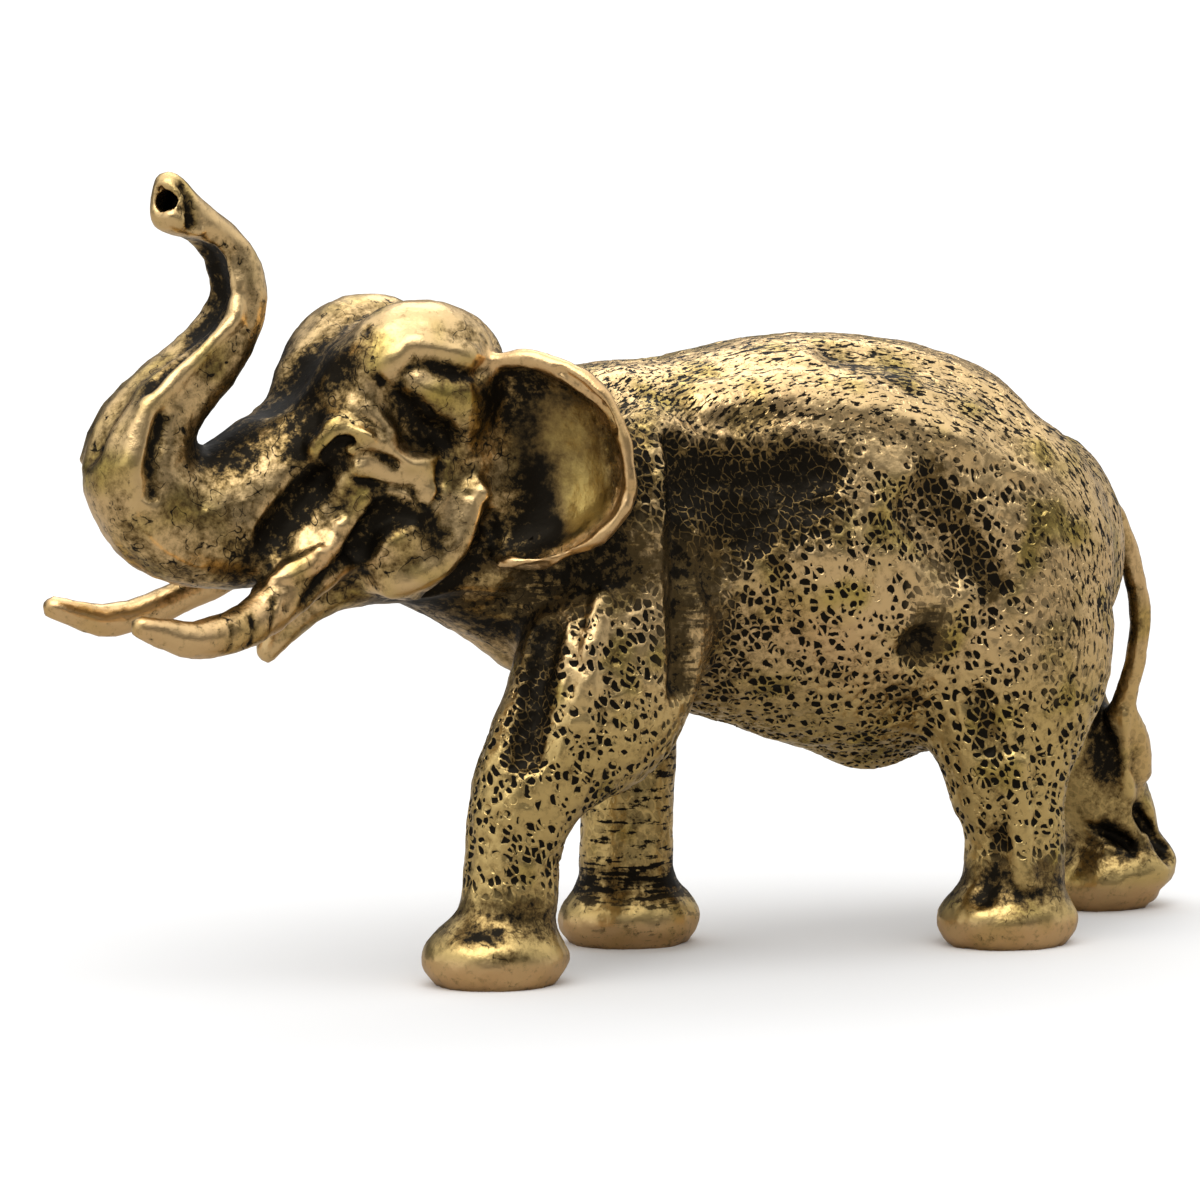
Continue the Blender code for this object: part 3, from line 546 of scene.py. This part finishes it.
def sided(both, left=(), single=()):
    """Strokes as (path in the frame, reach in metres, value)."""
    found = [(on_figure(path, side), reach * MM, value)
             for side in (LEFT, RIGHT) for path, reach, value in both]
    found += [(on_figure(path, LEFT), reach * MM, value) for path, reach, value in (*left, *single)]
    return found


def carve(mesh, strokes):
    """Raises or cuts the skin along strokes, square to itself."""
    places = read(mesh.vertices, "co")
    normals = read(mesh.vertices, "normal")
    moved = places.copy()
    for path, reach, height in strokes:
        near, share = share_of(places, path, reach)
        moved[near] += normals[near] * (share * height * MM)[:, None]
    move_to(mesh, moved)


def thin_rims(mesh):
    """Draws the rolled rims of the ears in to an uneven edge, thick and thin by turns."""
    places = read(mesh.vertices, "co")
    for side in (LEFT, RIGHT):
        path = on_figure(EAR_RIM, side)
        closest = np.full(len(places), np.inf)
        pull = np.zeros_like(places)
        for k, (start, end) in enumerate(zip(path, path[1:])):
            share, away = beside_line(places, start, end)
            out = np.linalg.norm(away, axis=1)
            nearer = out < closest
            closest[nearer] = out[nearer]
            along = k + share[nearer]
            uneven = 0.36 + 0.12 * np.sin(2.3 * along + 0.8) + 0.07 * np.sin(5.9 * along)
            pull[nearer] = away[nearer] * uneven[:, None]
        places -= pull * np.clip(1 - (closest / (RIM_REACH * MM)) ** 2, 0, 1)[:, None] ** 0.5
    move_to(mesh, places)


def round_soles(mesh):
    """Rounds off the lower edge of each foot, as wear has done. The right hind heel is off the ground."""
    places = read(mesh.vertices, "co")
    lifted = HEEL_LIFT * np.clip(places[:, 0] - (HEEL_LIFT_X + SHOULDER_X) * MM, 0, None) * (places[:, 1] > 0)
    height = places[:, 2] - lifted
    for x, y in FEET:
        away = places[:, :2] - on_figure([(x, y, 0)])[0, :2]
        out = np.maximum(np.linalg.norm(away, axis=1), 0.1 * MM)
        low = np.clip(1 - height / (SOLE_ROUND_HEIGHT * MM), 0, 1)
        share = step(out, 2.5 * MM, 3.5 * MM) * (1 - step(out, 6.5 * MM, 7.5 * MM))
        bulge = SOLE_BULGE * np.exp(-((height / MM - SOLE_BULGE_HEIGHT) / SOLE_BULGE_SPREAD) ** 2)
        inward = (SOLE_ROUND * (1 - np.sqrt(1 - low ** 2)) - bulge) * MM * share
        places[:, :2] -= away / out[:, None] * inward[:, None]
    move_to(mesh, places)


def painted(places, start, stains):
    """A value for each place, with stains laid over a starting one."""
    values = np.full(len(places), float(start))
    for path, reach, strength in stains:
        near, share = share_of(places, path, 1.15 * reach)
        values[near] += share * strength
    return values


def store(mesh, name, values):
    if name in mesh.attributes:
        mesh.attributes.remove(mesh.attributes[name])
    made = mesh.attributes.new(name, "FLOAT", "POINT")
    made.data.foreach_set("value", np.asarray(values, dtype=np.float32))


def step(values, low, high):
    """0 under low, 1 over high and a smooth rise between."""
    share = np.clip((values - low) / (high - low), 0, 1)
    return share * share * (3 - 2 * share)


def evaluated(made):
    """The object's mesh with its modifiers in it, as a plain mesh of its own."""
    bpy.context.view_layer.update()
    graph = bpy.context.evaluated_depsgraph_get()
    mesh = bpy.data.meshes.new_from_object(made.evaluated_get(graph))
    made.modifiers.clear()
    made.data = mesh
    return mesh


# Node helpers, used for the relief's tree and for the material.

def node(tree, kind, inputs=None, **settings):
    """A node with its settings, and its inputs set to a value or wired to an output."""
    made = tree.nodes.new(kind)
    for name, value in settings.items():
        setattr(made, name, value)
    for key, value in (inputs or {}).items():
        if isinstance(value, bpy.types.NodeSocket):
            tree.links.new(value, made.inputs[key])
        else:
            made.inputs[key].default_value = value
    return made


def maths(tree, operation, first, second=0.0, clamp=False):
    made = node(tree, "ShaderNodeMath", {0: first, 1: second}, operation=operation, use_clamp=clamp)
    return made.outputs[0]


def vector_maths(tree, operation, first, second):
    return node(tree, "ShaderNodeVectorMath", {0: first, 1: second}, operation=operation).outputs[0]


def scaled(tree, vector, factor):
    return node(tree, "ShaderNodeVectorMath", {0: vector, "Scale": factor}, operation="SCALE").outputs[0]


def rise(tree, value, low, high, start=0.0, end=1.0):
    """A smooth change from start to end as the value goes from low to high."""
    return node(
        tree, "ShaderNodeMapRange", {0: value, 1: low, 2: high, 3: start, 4: end},
        interpolation_type="SMOOTHSTEP",
    ).outputs[0]


def by_dirt(tree, dirt_and_shade, clean, dirty):
    """A value that goes evenly from that of clean skin to that of dirty skin."""
    return node(tree, "ShaderNodeMapRange", {0: dirt_and_shade, 1: 0.0, 2: 1.0, 3: clean, 4: dirty}).outputs[0]


def between(tree, share, first, second):
    return node(tree, "ShaderNodeMix", {0: share, 2: first, 3: second}, data_type="FLOAT").outputs[0]


def blend_colour(tree, share, first, second):
    return node(tree, "ShaderNodeMix", {0: share, 6: first, 7: second}, data_type="RGBA").outputs[2]


def noise(tree, place, size, detail=2.0, roughness=0.5):
    """Noise whose features are about that size in metres."""
    return node(
        tree, "ShaderNodeTexNoise",
        {"Vector": place, "Scale": 1 / size, "Detail": detail, "Roughness": roughness},
    )


def along_the_form(tree, place, stretch):
    """The place as (out from the barrel's middle, across, round the barrel), shortened along the last."""
    middle = ((BARREL_X + SHOULDER_X) * MM, 0.0, BARREL_Z * MM)
    parts = node(tree, "ShaderNodeSeparateXYZ", {0: vector_maths(tree, "SUBTRACT", place, middle)}).outputs
    squares = maths(tree, "ADD", maths(tree, "MULTIPLY", parts[0], parts[0]),
                    maths(tree, "MULTIPLY", parts[2], parts[2]))
    out = maths(tree, "SQRT", squares)
    turn = maths(tree, "ARCTAN2", parts[0], parts[2])
    around = maths(tree, "MULTIPLY", turn, BARREL_RADIUS * MM / stretch)
    return node(tree, "ShaderNodeCombineXYZ", {0: out, 1: parts[1], 2: around}).outputs[0]


def pit_cells(tree, place, sizes):
    """The place in pit spacings, along a slant that makes the pits oval."""
    slanted = node(tree, "ShaderNodeVectorRotate", {"Vector": place, "Angle": PIT_SLANT},
                   rotation_type="Y_AXIS").outputs[0]
    share = 1 / sizes.pit_spacing
    cells = vector_maths(tree, "MULTIPLY", slanted, (share, share, PIT_NARROWING * share))
    wander = noise(tree, cells, PIT_BEND_SIZE, detail=1.0).outputs[1]
    bend = vector_maths(tree, "SUBTRACT", wander, (0.5, 0.5, 0.5))
    return vector_maths(tree, "ADD", cells, scaled(tree, bend, PIT_BEND))


def pit_depths(tree, cells, dirt_and_shade):
    """How far inside a round pit a place is, in spacings. More patina, and more painted shade, means wider
    pits.
    """
    found = node(tree, "ShaderNodeTexVoronoi", {"Vector": cells, "Scale": 1.0}, feature="F1").outputs
    chance = node(tree, "ShaderNodeSeparateXYZ", {0: found["Color"]}).outputs[0]
    by_chance = maths(tree, "MULTIPLY", maths(tree, "SUBTRACT", chance, 0.5), 0.5)
    radius = maths(tree, "ADD", by_dirt(tree, dirt_and_shade, *PIT_RADIUS), by_chance)
    return maths(tree, "SUBTRACT", radius, found["Distance"])


def pit_share(tree, cells, depths, dirt_and_shade):
    """How deep in a pit a place is, 0 to 1, with a wall left standing between each pit and the next."""
    wall = node(tree, "ShaderNodeTexVoronoi", {"Vector": cells, "Scale": 1.0}, feature="DISTANCE_TO_EDGE")
    inside = maths(tree, "SUBTRACT", wall.outputs["Distance"], by_dirt(tree, dirt_and_shade, *WALL_HALF))
    return rise(tree, maths(tree, "MINIMUM", inside, depths), -0.03, 0.03)


def dash_share(tree, place, sizes, dirt_and_shade):
    """How deep in one of the short scores of the back and rump a place is, 0 to 1."""
    form = along_the_form(tree, place, sizes.score_stretch)
    grain = noise(tree, form, 0.45 * sizes.pit_spacing, detail=2.0, roughness=0.55).outputs[0]
    return rise(tree, maths(tree, "SUBTRACT", grain, by_dirt(tree, dirt_and_shade, *SCORE_LEVEL)), -0.02, 0.03)


def relief_tree(sizes):
    """Geometry nodes that sink the pits of the cast surface into the skin."""
    tree = bpy.data.node_groups.new("pitted casting", "GeometryNodeTree")
    face = tree.interface
    face.new_socket("Skin", in_out="INPUT", socket_type="NodeSocketGeometry")
    depth = face.new_socket("Pit depth", in_out="INPUT", socket_type="NodeSocketFloat")
    depth.subtype = "DISTANCE"
    metal = face.new_socket("Metal", in_out="INPUT", socket_type="NodeSocketMaterial")
    face.new_socket("Skin", in_out="OUTPUT", socket_type="NodeSocketGeometry")
    given = node(tree, "NodeGroupInput").outputs
    place = node(tree, "GeometryNodeInputPosition").outputs[0]
    normal = node(tree, "GeometryNodeInputNormal").outputs[0]

    def stored(name):
        return node(tree, "GeometryNodeInputNamedAttribute", {"Name": name}, data_type="FLOAT").outputs[0]

    # The stored patina also holds painted shade and painted highlights, which widen and narrow the pits there
    # too.
    patina, pitted, scored = stored("patina"), stored("pitted"), stored("scored")
    cells = pit_cells(tree, place, sizes)
    open_pits = pit_share(tree, cells, pit_depths(tree, cells, patina), patina)
    dashes = dash_share(tree, place, sizes, patina)
    sunk = between(tree, scored, open_pits, maths(tree, "MULTIPLY", dashes, SCORE_DEPTH))
    sunk = maths(tree, "MULTIPLY", sunk, pitted)
    ripple = maths(tree, "SUBTRACT", noise(tree, place, RIPPLE_SIZE, detail=3.0).outputs[0], 0.5)
    sunk = maths(tree, "SUBTRACT", sunk, maths(tree, "MULTIPLY", ripple, RIPPLE_HEIGHT))
    down = maths(tree, "MULTIPLY", maths(tree, "MULTIPLY", sunk, given["Pit depth"]), -1.0)
    moved = node(tree, "GeometryNodeSetPosition",
                 {"Geometry": given["Skin"], "Offset": scaled(tree, normal, down)})
    plain = node(tree, "GeometryNodeRealizeInstances", {0: moved.outputs[0]})
    finished = node(tree, "GeometryNodeSetMaterial",
                    {"Geometry": plain.outputs[0], "Material": given["Metal"]})
    node(tree, "NodeGroupOutput", {0: finished.outputs[0]})
    return tree, {"Pit depth": depth.identifier, "Metal": metal.identifier}


def antique_brass(sizes, finish):
    """Brass rubbed bright on its high spots, with dark patina left in the pits, scores and hollows, and the
    painted shade and painted highlights that come with the patina.
    """
    made = bpy.data.materials.new("antique brass")
    made.use_nodes = True
    tree = made.node_tree
    shader = tree.nodes["Principled BSDF"]
    place = node(tree, "ShaderNodeTexCoord").outputs["Object"]

    def stored(name):
        return node(tree, "ShaderNodeAttribute", attribute_name=name).outputs["Fac"]

    # The stored patina also holds painted shade and painted highlights, so the brass is darkened and
    # brightened there as painted light.
    patina, pitted, scored = stored("patina"), stored("pitted"), stored("scored")
    patches = noise(tree, place, PATCH_SIZE, detail=1.0).outputs[0]
    specks = noise(tree, place, SPECK_SIZE, detail=3.0, roughness=0.7).outputs[0]
    uneven = maths(tree, "MULTIPLY", maths(tree, "SUBTRACT", patches, 0.5), 0.8)
    dirt_and_shade = maths(tree, "ADD", patina, uneven, clamp=True)
    grainy = maths(tree, "MULTIPLY", maths(tree, "SUBTRACT", specks, 0.5), 1.6)
    grainy = maths(tree, "MULTIPLY", grainy, rise(tree, stored("olive"), 0.5, 0.8, 1.0, 0.4))
    grime = maths(tree, "ADD", dirt_and_shade, grainy)

    cells = pit_cells(tree, place, sizes)
    depths = pit_depths(tree, cells, dirt_and_shade)
    open_pits = pit_share(tree, cells, depths, dirt_and_shade)
    dashes = dash_share(tree, place, sizes, dirt_and_shade)
    holes = maths(tree, "MULTIPLY", between(tree, scored, open_pits, dashes), pitted)
    wander = noise(tree, place, CRACK_SIZE, detail=2.0, roughness=0.6).outputs[0]
    off_line = maths(tree, "ABSOLUTE", maths(tree, "SUBTRACT", wander, 0.52))
    cracks = maths(tree, "MULTIPLY", rise(tree, off_line, 0.003, 0.014, 1.0, 0.0),
                   rise(tree, stored("olive"), 0.4, 0.7, 1.0, 0.0))
    cracks = maths(tree, "MULTIPLY", cracks,
                   rise(tree, maths(tree, "SUBTRACT", grime, pitted), 0.15, 0.45))
    soiled = rise(tree, maths(tree, "SUBTRACT", grime, maths(tree, "MULTIPLY", pitted, 0.2)), 0.52, 0.92)
    level = vector_maths(tree, "MULTIPLY", place, (0.3, 0.3, 2.0))
    bands = noise(tree, level, SPECK_SIZE, detail=2.0).outputs[0]
    bands = rise(tree, maths(tree, "ADD", bands, maths(tree, "MULTIPLY", grime, 0.35)), 0.62, 0.72)
    bands = maths(tree, "MULTIPLY", bands, stored("banded"))
    dark = maths(tree, "MAXIMUM", maths(tree, "MAXIMUM", holes, soiled),
                 maths(tree, "MAXIMUM", cracks, bands))
    wash = rise(tree, grime, 0.0, 0.72)

    warm = maths(tree, "MULTIPLY", stored("copper"), rise(tree, patches, 0.3, 0.6, 0.5, 1.0))
    green = maths(tree, "MAXIMUM", rise(tree, patches, 0.45, 0.75), stored("olive"))
    metal = blend_colour(tree, green, tuple(finish.polished), tuple(finish.olive))
    metal = blend_colour(tree, warm, metal, tuple(finish.copper))
    metal = blend_colour(tree, wash, metal, tuple(finish.smoky))
    colour = blend_colour(tree, dark, metal, tuple(finish.patina))
    tree.links.new(colour, shader.inputs["Base Color"])
    shader.inputs["Specular IOR Level"].default_value = 0.3
    tree.links.new(rise(tree, dark, 0.0, 1.0, 1.0, 0.8), shader.inputs["Metallic"])
    tree.links.new(between(tree, dark, finish.polished_roughness, finish.patina_roughness),
                   shader.inputs["Roughness"])

    sunk = maths(tree, "MULTIPLY", rise(tree, depths, -0.03, 0.06), pitted)
    height = maths(tree, "SUBTRACT", maths(tree, "MULTIPLY", specks, 0.8), sunk)
    bump = node(tree, "ShaderNodeBump", {"Height": height, "Strength": 0.6, "Distance": 0.00006})
    tree.links.new(bump.outputs[0], shader.inputs["Normal"])
    return made


def skin_copy(name):
    """The solid's skin as one shell in a new object."""
    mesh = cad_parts[CASTING].data.copy()
    mesh.materials.clear()
    made = bpy.data.objects.new(name, mesh)
    bpy.context.scene.collection.objects.link(made)
    weld = made.modifiers.new("one shell", "WELD")
    weld.merge_threshold = 0.000001
    evaluated(made)
    return made


def shaded_from(mesh, rays=40, reach=0.012, clearance=0.00008, seed=7):
    """How much of the sky over each point of a plain mesh the figure itself hides, 0 to 1."""
    places = read(mesh.vertices, "co")
    normals = read(mesh.vertices, "normal")
    tree = BVHTree.FromPolygons([tuple(p) for p in places], [tuple(f.vertices) for f in mesh.polygons])
    chance = np.random.default_rng(seed)
    spread = chance.normal(size=(rays, 3))
    spread /= np.linalg.norm(spread, axis=1)[:, None]
    hidden = np.zeros(len(places))
    for k, (place, normal) in enumerate(zip(places, normals)):
        start = Vector(place + normal * clearance)
        found = 0.0
        for toward in spread + normal:
            hit = tree.ray_cast(start, Vector(toward), reach)
            if hit[0] is not None:
                found += 1 - hit[3] / reach
        hidden[k] = found / rays
    return places, hidden


def carried_over(places, values, mesh):
    """Values known at some places, carried to a finer skin over them and evened out there."""
    tree = KDTree(len(places))
    for k, place in enumerate(places):
        tree.insert(place, k)
    tree.balance()
    targets = read(mesh.vertices, "co")
    found = np.array([values[tree.find(target)[1]] for target in targets])
    return blurred(found, edge_ends(mesh), 8)


def round_feet(x, y, inner, outer):
    """1 nearer to the middle of a foot than the inner distance, 0 beyond the outer one."""
    return np.max([1 - step(np.hypot(x - fx, y - fy), inner, outer) for fx, fy in FEET], axis=0)


def marked(places, path, reach, full, sides=(LEFT, RIGHT)):
    """1 near the path, on both sides of the figure unless told otherwise, and 0 at its reach."""
    marks = np.zeros(len(places))
    for side in sides:
        near, share = share_of(places, on_figure(path, side), reach * MM)
        marks[near] = np.maximum(marks[near], step(share, 0.0, full))
    return marks


def mark_regions(mesh, hidden):
    """Stores how dirty each point of the skin is, with painted shade and painted highlights laid into that,
    and how pitted, scored, coppery and greenish it is.
    """
    places = read(mesh.vertices, "co")
    normals = read(mesh.vertices, "normal")
    ends = edge_ends(mesh)
    x, y, z = (places / MM - (SHOULDER_X, 0, 0)).T

    head = step(-x, 8.0, 10.0) * step(z - 0.4 * (x + 10), 17.5, 19.0)
    trunk = step(-x, 19.0, 21.0)
    tusks = marked(places, TUSK[1:], 2.0, 0.35)
    rims = marked(places, EAR_RIM, 1.1, 0.35)
    ears = marked(places, EAR_BACK, 3.2, 0.3)
    bowls = marked(places, EAR_CUP, 3.0, 0.3)
    tail = marked(places, TAIL, 1.6, 0.2, (LEFT,))
    soles = round_feet(x, y, 4.6, 5.2) * (1 - step(z, 1.0, 1.8))
    # The band round each ankle: painted shadow is laid on it below, and it is kept free of pits.
    shaded_ankles = round_feet(x, y, 4.6, 5.2) * (step(z, 1.6, 2.8) * (1 - step(z, 3.8, 5.0)))
    feet = round_feet(x, y, 5.0, 5.6) * (1 - step(z, 3.0, 4.6))
    hock = step(x, 28.0, 29.5) * (1 - step(z, 11.0, 13.0))
    chest = (1 - step(np.abs(y), 4.0, 5.5)) * step(-x, 2.0, 4.0)
    chest = chest * step(z, 12.5, 14.0) * (1 - step(z, 19.5, 21.0))
    legs = 1 - step(z, 11.0, 17.0)
    upper = step(z + 0.10 * x, 26.0, 28.5) * step(x, -6.0, -3.0)
    rump = step(x, 19.0, 24.0) * step(z, 12.0, 16.0)

    fine = np.sum((places - blurred(places, ends, 4)) * normals, axis=1) / MM
    broad = np.sum((places - blurred(places, ends, 36)) * normals, axis=1) / MM
    dirt_and_shade = painted(places, LEVEL_DIRT, sided(BOTH_SIDES_STAINS_AND_SHADING, single=SINGLE_STAINS_AND_SHADING))
    dirt_and_shade += DIRT_BY_SHELTER * (hidden - SHELTER_OF_LEVEL)
    dirt_and_shade -= DIRT_BY_HOLLOW * np.clip(broad, -DEEPEST_HOLLOW, DEEPEST_HOLLOW)
    dirt_and_shade -= DIRT_BY_CUT * np.clip(fine, -DEEPEST_CUT, DEEPEST_CUT)
    dirt_and_shade += 0.14 * head
    # The soles and the tail are left cleaner, and the band round the ankles is darkened as painted shadow.
    dirt_and_shade = dirt_and_shade - 0.5 * soles - 0.2 * tail + 0.4 * shaded_ankles

    smooth = [head, feet, shaded_ankles, chest, tusks, rims, ears, bowls, 0.8 * tail, trunk, 0.8 * hock]
    pitted = blurred(np.clip(1 - np.max(smooth, axis=0), 0, 1), ends, 6)
    banded = np.clip(painted(places, 0.0, sided(BOTH_SIDES_BANDS, single=SINGLE_BANDS)), 0, 1)
    blush = painted(places, 0.0, sided(BOTH_SIDES_BLUSH))
    warm = np.max([0.4 * tusks, 0.5 * rims, 0.55 * soles, 0.3 * tail, blush], axis=0)

    # The patina stored here also holds the painted shade and painted highlights laid in above.
    store(mesh, "patina", np.clip(dirt_and_shade, 0, 1))
    store(mesh, "pitted", pitted * (1 - 0.7 * banded))
    store(mesh, "scored", np.clip(np.maximum(upper, rump), 0, 1))
    store(mesh, "banded", banded)
    store(mesh, "copper", np.clip(warm, 0, 1))
    store(mesh, "olive", np.clip(np.maximum(0.8 * ears * (1 - rims), 0.5 * legs * (1 - soles)), 0, 1))


def kept_in_box(mesh):
    """The skin held inside the solid's box, and its soles laid flat on the ground."""
    low, high = (np.array(corner) for corner in CAD_BOX)
    places = np.clip(read(mesh.vertices, "co"), low, high)
    places[places[:, 2] < FLAT_HEIGHT * MM, 2] = low[2]
    move_to(mesh, places)


class OBJECT_OT_brass_elephant_skin(bpy.types.Operator):
    """Casts the elephant's skin, with its carving, pits and patina"""

    bl_idname = "object.brass_elephant_skin"
    bl_label = "Elephant skin"

    def execute(self, context):
        sizes = context.scene.brass_elephant_sizes
        finish = context.scene.brass_elephant_finish
        skin = skin_copy("elephant_cast_skin")
        shaded_places, shaded = shaded_from(skin.data)
        grain = skin.modifiers.new("grain", "REMESH")
        grain.mode = "VOXEL"
        grain.voxel_size = sizes.skin_grain
        mesh = evaluated(skin)
        move_to(mesh, rounded_off(read(mesh.vertices, "co"), edge_ends(mesh), sizes.facet_passes))
        strokes = sided(BOTH_SIDES_STROKES, LEFT_STROKES, SINGLE_STROKES)
        broad = [stroke for stroke in strokes if stroke[1] >= THIN_REACH * MM]
        thin = [stroke for stroke in strokes if stroke[1] < THIN_REACH * MM]
        thin_rims(mesh)
        carve(mesh, broad)
        carve(mesh, thin)
        round_soles(mesh)
        mark_regions(mesh, carried_over(shaded_places, shaded, mesh))

        metal = antique_brass(sizes, finish)
        tree, sockets = relief_tree(sizes)
        relief = skin.modifiers.new("pits", "NODES")
        relief.node_group = tree
        relief[sockets["Pit depth"]] = sizes.pit_depth
        relief[sockets["Metal"]] = metal
        mesh = evaluated(skin)
        mesh.calc_loop_triangles()
        fewer = skin.modifiers.new("fewer triangles", "DECIMATE")
        fewer.ratio = min(1.0, sizes.skin_triangles / len(mesh.loop_triangles))
        mesh = evaluated(skin)
        kept_in_box(mesh)
        mesh.shade_smooth()
        skin.data.materials.clear()
        skin.data.materials.append(metal)
        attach(skin, "root")
        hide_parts(CASTING)
        return {"FINISHED"}


def studio_floor(setup):
    """A wide pale disc under the figure. The brass sees it as darker than the camera does."""
    sides = 96
    corners = [(setup.floor_radius * math.cos(2 * math.pi * k / sides),
                setup.floor_radius * math.sin(2 * math.pi * k / sides), 0.0) for k in range(sides)]
    mesh = bpy.data.meshes.new("studio_floor")
    mesh.from_pydata(corners, [], [tuple(range(sides))])
    made = bpy.data.objects.new("studio_floor", mesh)
    bpy.context.scene.collection.objects.link(made)
    paper = bpy.data.materials.new("pale paper")
    paper.use_nodes = True
    tree = paper.node_tree
    shader = tree.nodes["Principled BSDF"]
    shader.inputs["Roughness"].default_value = 0.9
    shader.inputs["Specular IOR Level"].default_value = 0.0
    mirrored = node(tree, "ShaderNodeLightPath").outputs["Is Glossy Ray"]
    colour = blend_colour(tree, mirrored, tuple(setup.floor_colour), tuple(setup.floor_in_metal))
    tree.links.new(colour, shader.inputs["Base Color"])
    mesh.materials.append(paper)
    return made


def studio_room(setup):
    """The room: even pale light on the floor, and in the brass a bright ceiling over darker walls."""
    world = bpy.data.worlds.new("studio room")
    world.use_nodes = True
    tree = world.node_tree
    background = tree.nodes["Background"]
    path = node(tree, "ShaderNodeLightPath").outputs
    toward = node(tree, "ShaderNodeTexCoord").outputs["Generated"]
    parts = node(tree, "ShaderNodeSeparateXYZ", {0: toward}).outputs
    ceiling = rise(tree, parts[2], 0.2, 0.9, 0.0, CEILING_LIGHT)
    forward = maths(tree, "MULTIPLY", parts[0], -1.0)
    front_wall = rise(tree, forward, 0.55, 0.98, 0.0, FRONT_WALL_LIGHT)
    back_wall = rise(tree, parts[0], 0.6, 0.98, 0.0, BACK_WALL_LIGHT)
    walls = maths(tree, "ADD", front_wall, back_wall)
    mirrored = maths(tree, "ADD", maths(tree, "ADD", ceiling, walls), LEAST_LIGHT)
    strength = between(tree, path["Is Glossy Ray"], setup.room_light, mirrored)
    strength = between(tree, path["Is Camera Ray"], strength, 1.0)
    background.inputs["Color"].default_value = (1, 1, 1, 1)
    tree.links.new(strength, background.inputs["Strength"])
    bpy.context.scene.world = world
    world.cycles.sampling_method = "NONE"


def soft_light(name, toward, strength, spread):
    """A distant soft light that shines from the given direction."""
    lamp = bpy.data.lights.new(name, "SUN")
    lamp.energy = strength
    lamp.angle = spread
    made = bpy.data.objects.new(name, lamp)
    bpy.context.scene.collection.objects.link(made)
    made.rotation_euler = Vector(toward).to_track_quat("Z", "Y").to_euler()


def studio_camera(setup):
    lens = bpy.data.cameras.new("studio camera")
    lens.sensor_fit = "HORIZONTAL"
    lens.sensor_width = 36.0
    lens.lens = setup.lens
    lens.clip_start = 0.01
    lens.clip_end = 100.0
    made = bpy.data.objects.new("studio camera", lens)
    bpy.context.scene.collection.objects.link(made)
    back = Vector((math.sin(setup.azimuth) * math.cos(setup.elevation),
                   -math.cos(setup.azimuth) * math.cos(setup.elevation), math.sin(setup.elevation)))
    made.location = Vector((SHOULDER_X * MM, 0, setup.aim_height)) + back * setup.distance
    made.rotation_euler = back.to_track_quat("Z", "Y").to_euler()
    bpy.context.scene.camera = made


class OBJECT_OT_brass_elephant_stage(bpy.types.Operator):
    """Sets up the pale floor, the soft lights and the camera"""

    bl_idname = "object.brass_elephant_stage"
    bl_label = "Studio stage"

    def execute(self, context):
        setup = context.scene.brass_elephant_studio
        studio_floor(setup)
        studio_room(setup)
        soft_light("key light", toward=(-0.35, -0.35, 1.0), strength=setup.key_strength,
                   spread=setup.key_spread)
        soft_light("back light", toward=(0.45, 0.7, 0.9), strength=0.35 * setup.key_strength,
                   spread=0.6 * setup.key_spread)
        studio_camera(setup)
        context.scene.view_settings.view_transform = "Standard"
        return {"FINISHED"}


class VIEW3D_PT_brass_elephant(bpy.types.Panel):
    bl_label = "Brass elephant"
    bl_idname = "VIEW3D_PT_brass_elephant"
    bl_space_type = "VIEW_3D"
    bl_region_type = "UI"
    bl_category = "Brass elephant"

    def draw(self, context):
        layout = self.layout
        for group, operator in (
            (context.scene.brass_elephant_sizes, None),
            (context.scene.brass_elephant_finish, "object.brass_elephant_skin"),
            (context.scene.brass_elephant_studio, "object.brass_elephant_stage"),
        ):
            box = layout.box()
            for name in group.__annotations__:
                box.prop(group, name)
            if operator:
                box.operator(operator)


GROUPS = {
    "brass_elephant_sizes": CastingSizes,
    "brass_elephant_finish": BrassFinish,
    "brass_elephant_studio": StudioSetup,
}
CLASSES = (
    CastingSizes, BrassFinish, StudioSetup,
    OBJECT_OT_brass_elephant_skin, OBJECT_OT_brass_elephant_stage, VIEW3D_PT_brass_elephant,
)


def register():
    for each in CLASSES:
        bpy.utils.register_class(each)
    for name, group in GROUPS.items():
        setattr(bpy.types.Scene, name, bpy.props.PointerProperty(type=group))


def unregister():
    for name in GROUPS:
        delattr(bpy.types.Scene, name)
    for each in reversed(CLASSES):
        bpy.utils.unregister_class(each)


def main():
    register()
    bpy.ops.object.brass_elephant_skin()
    bpy.ops.object.brass_elephant_stage()


if __name__ == "__main__":
    main()
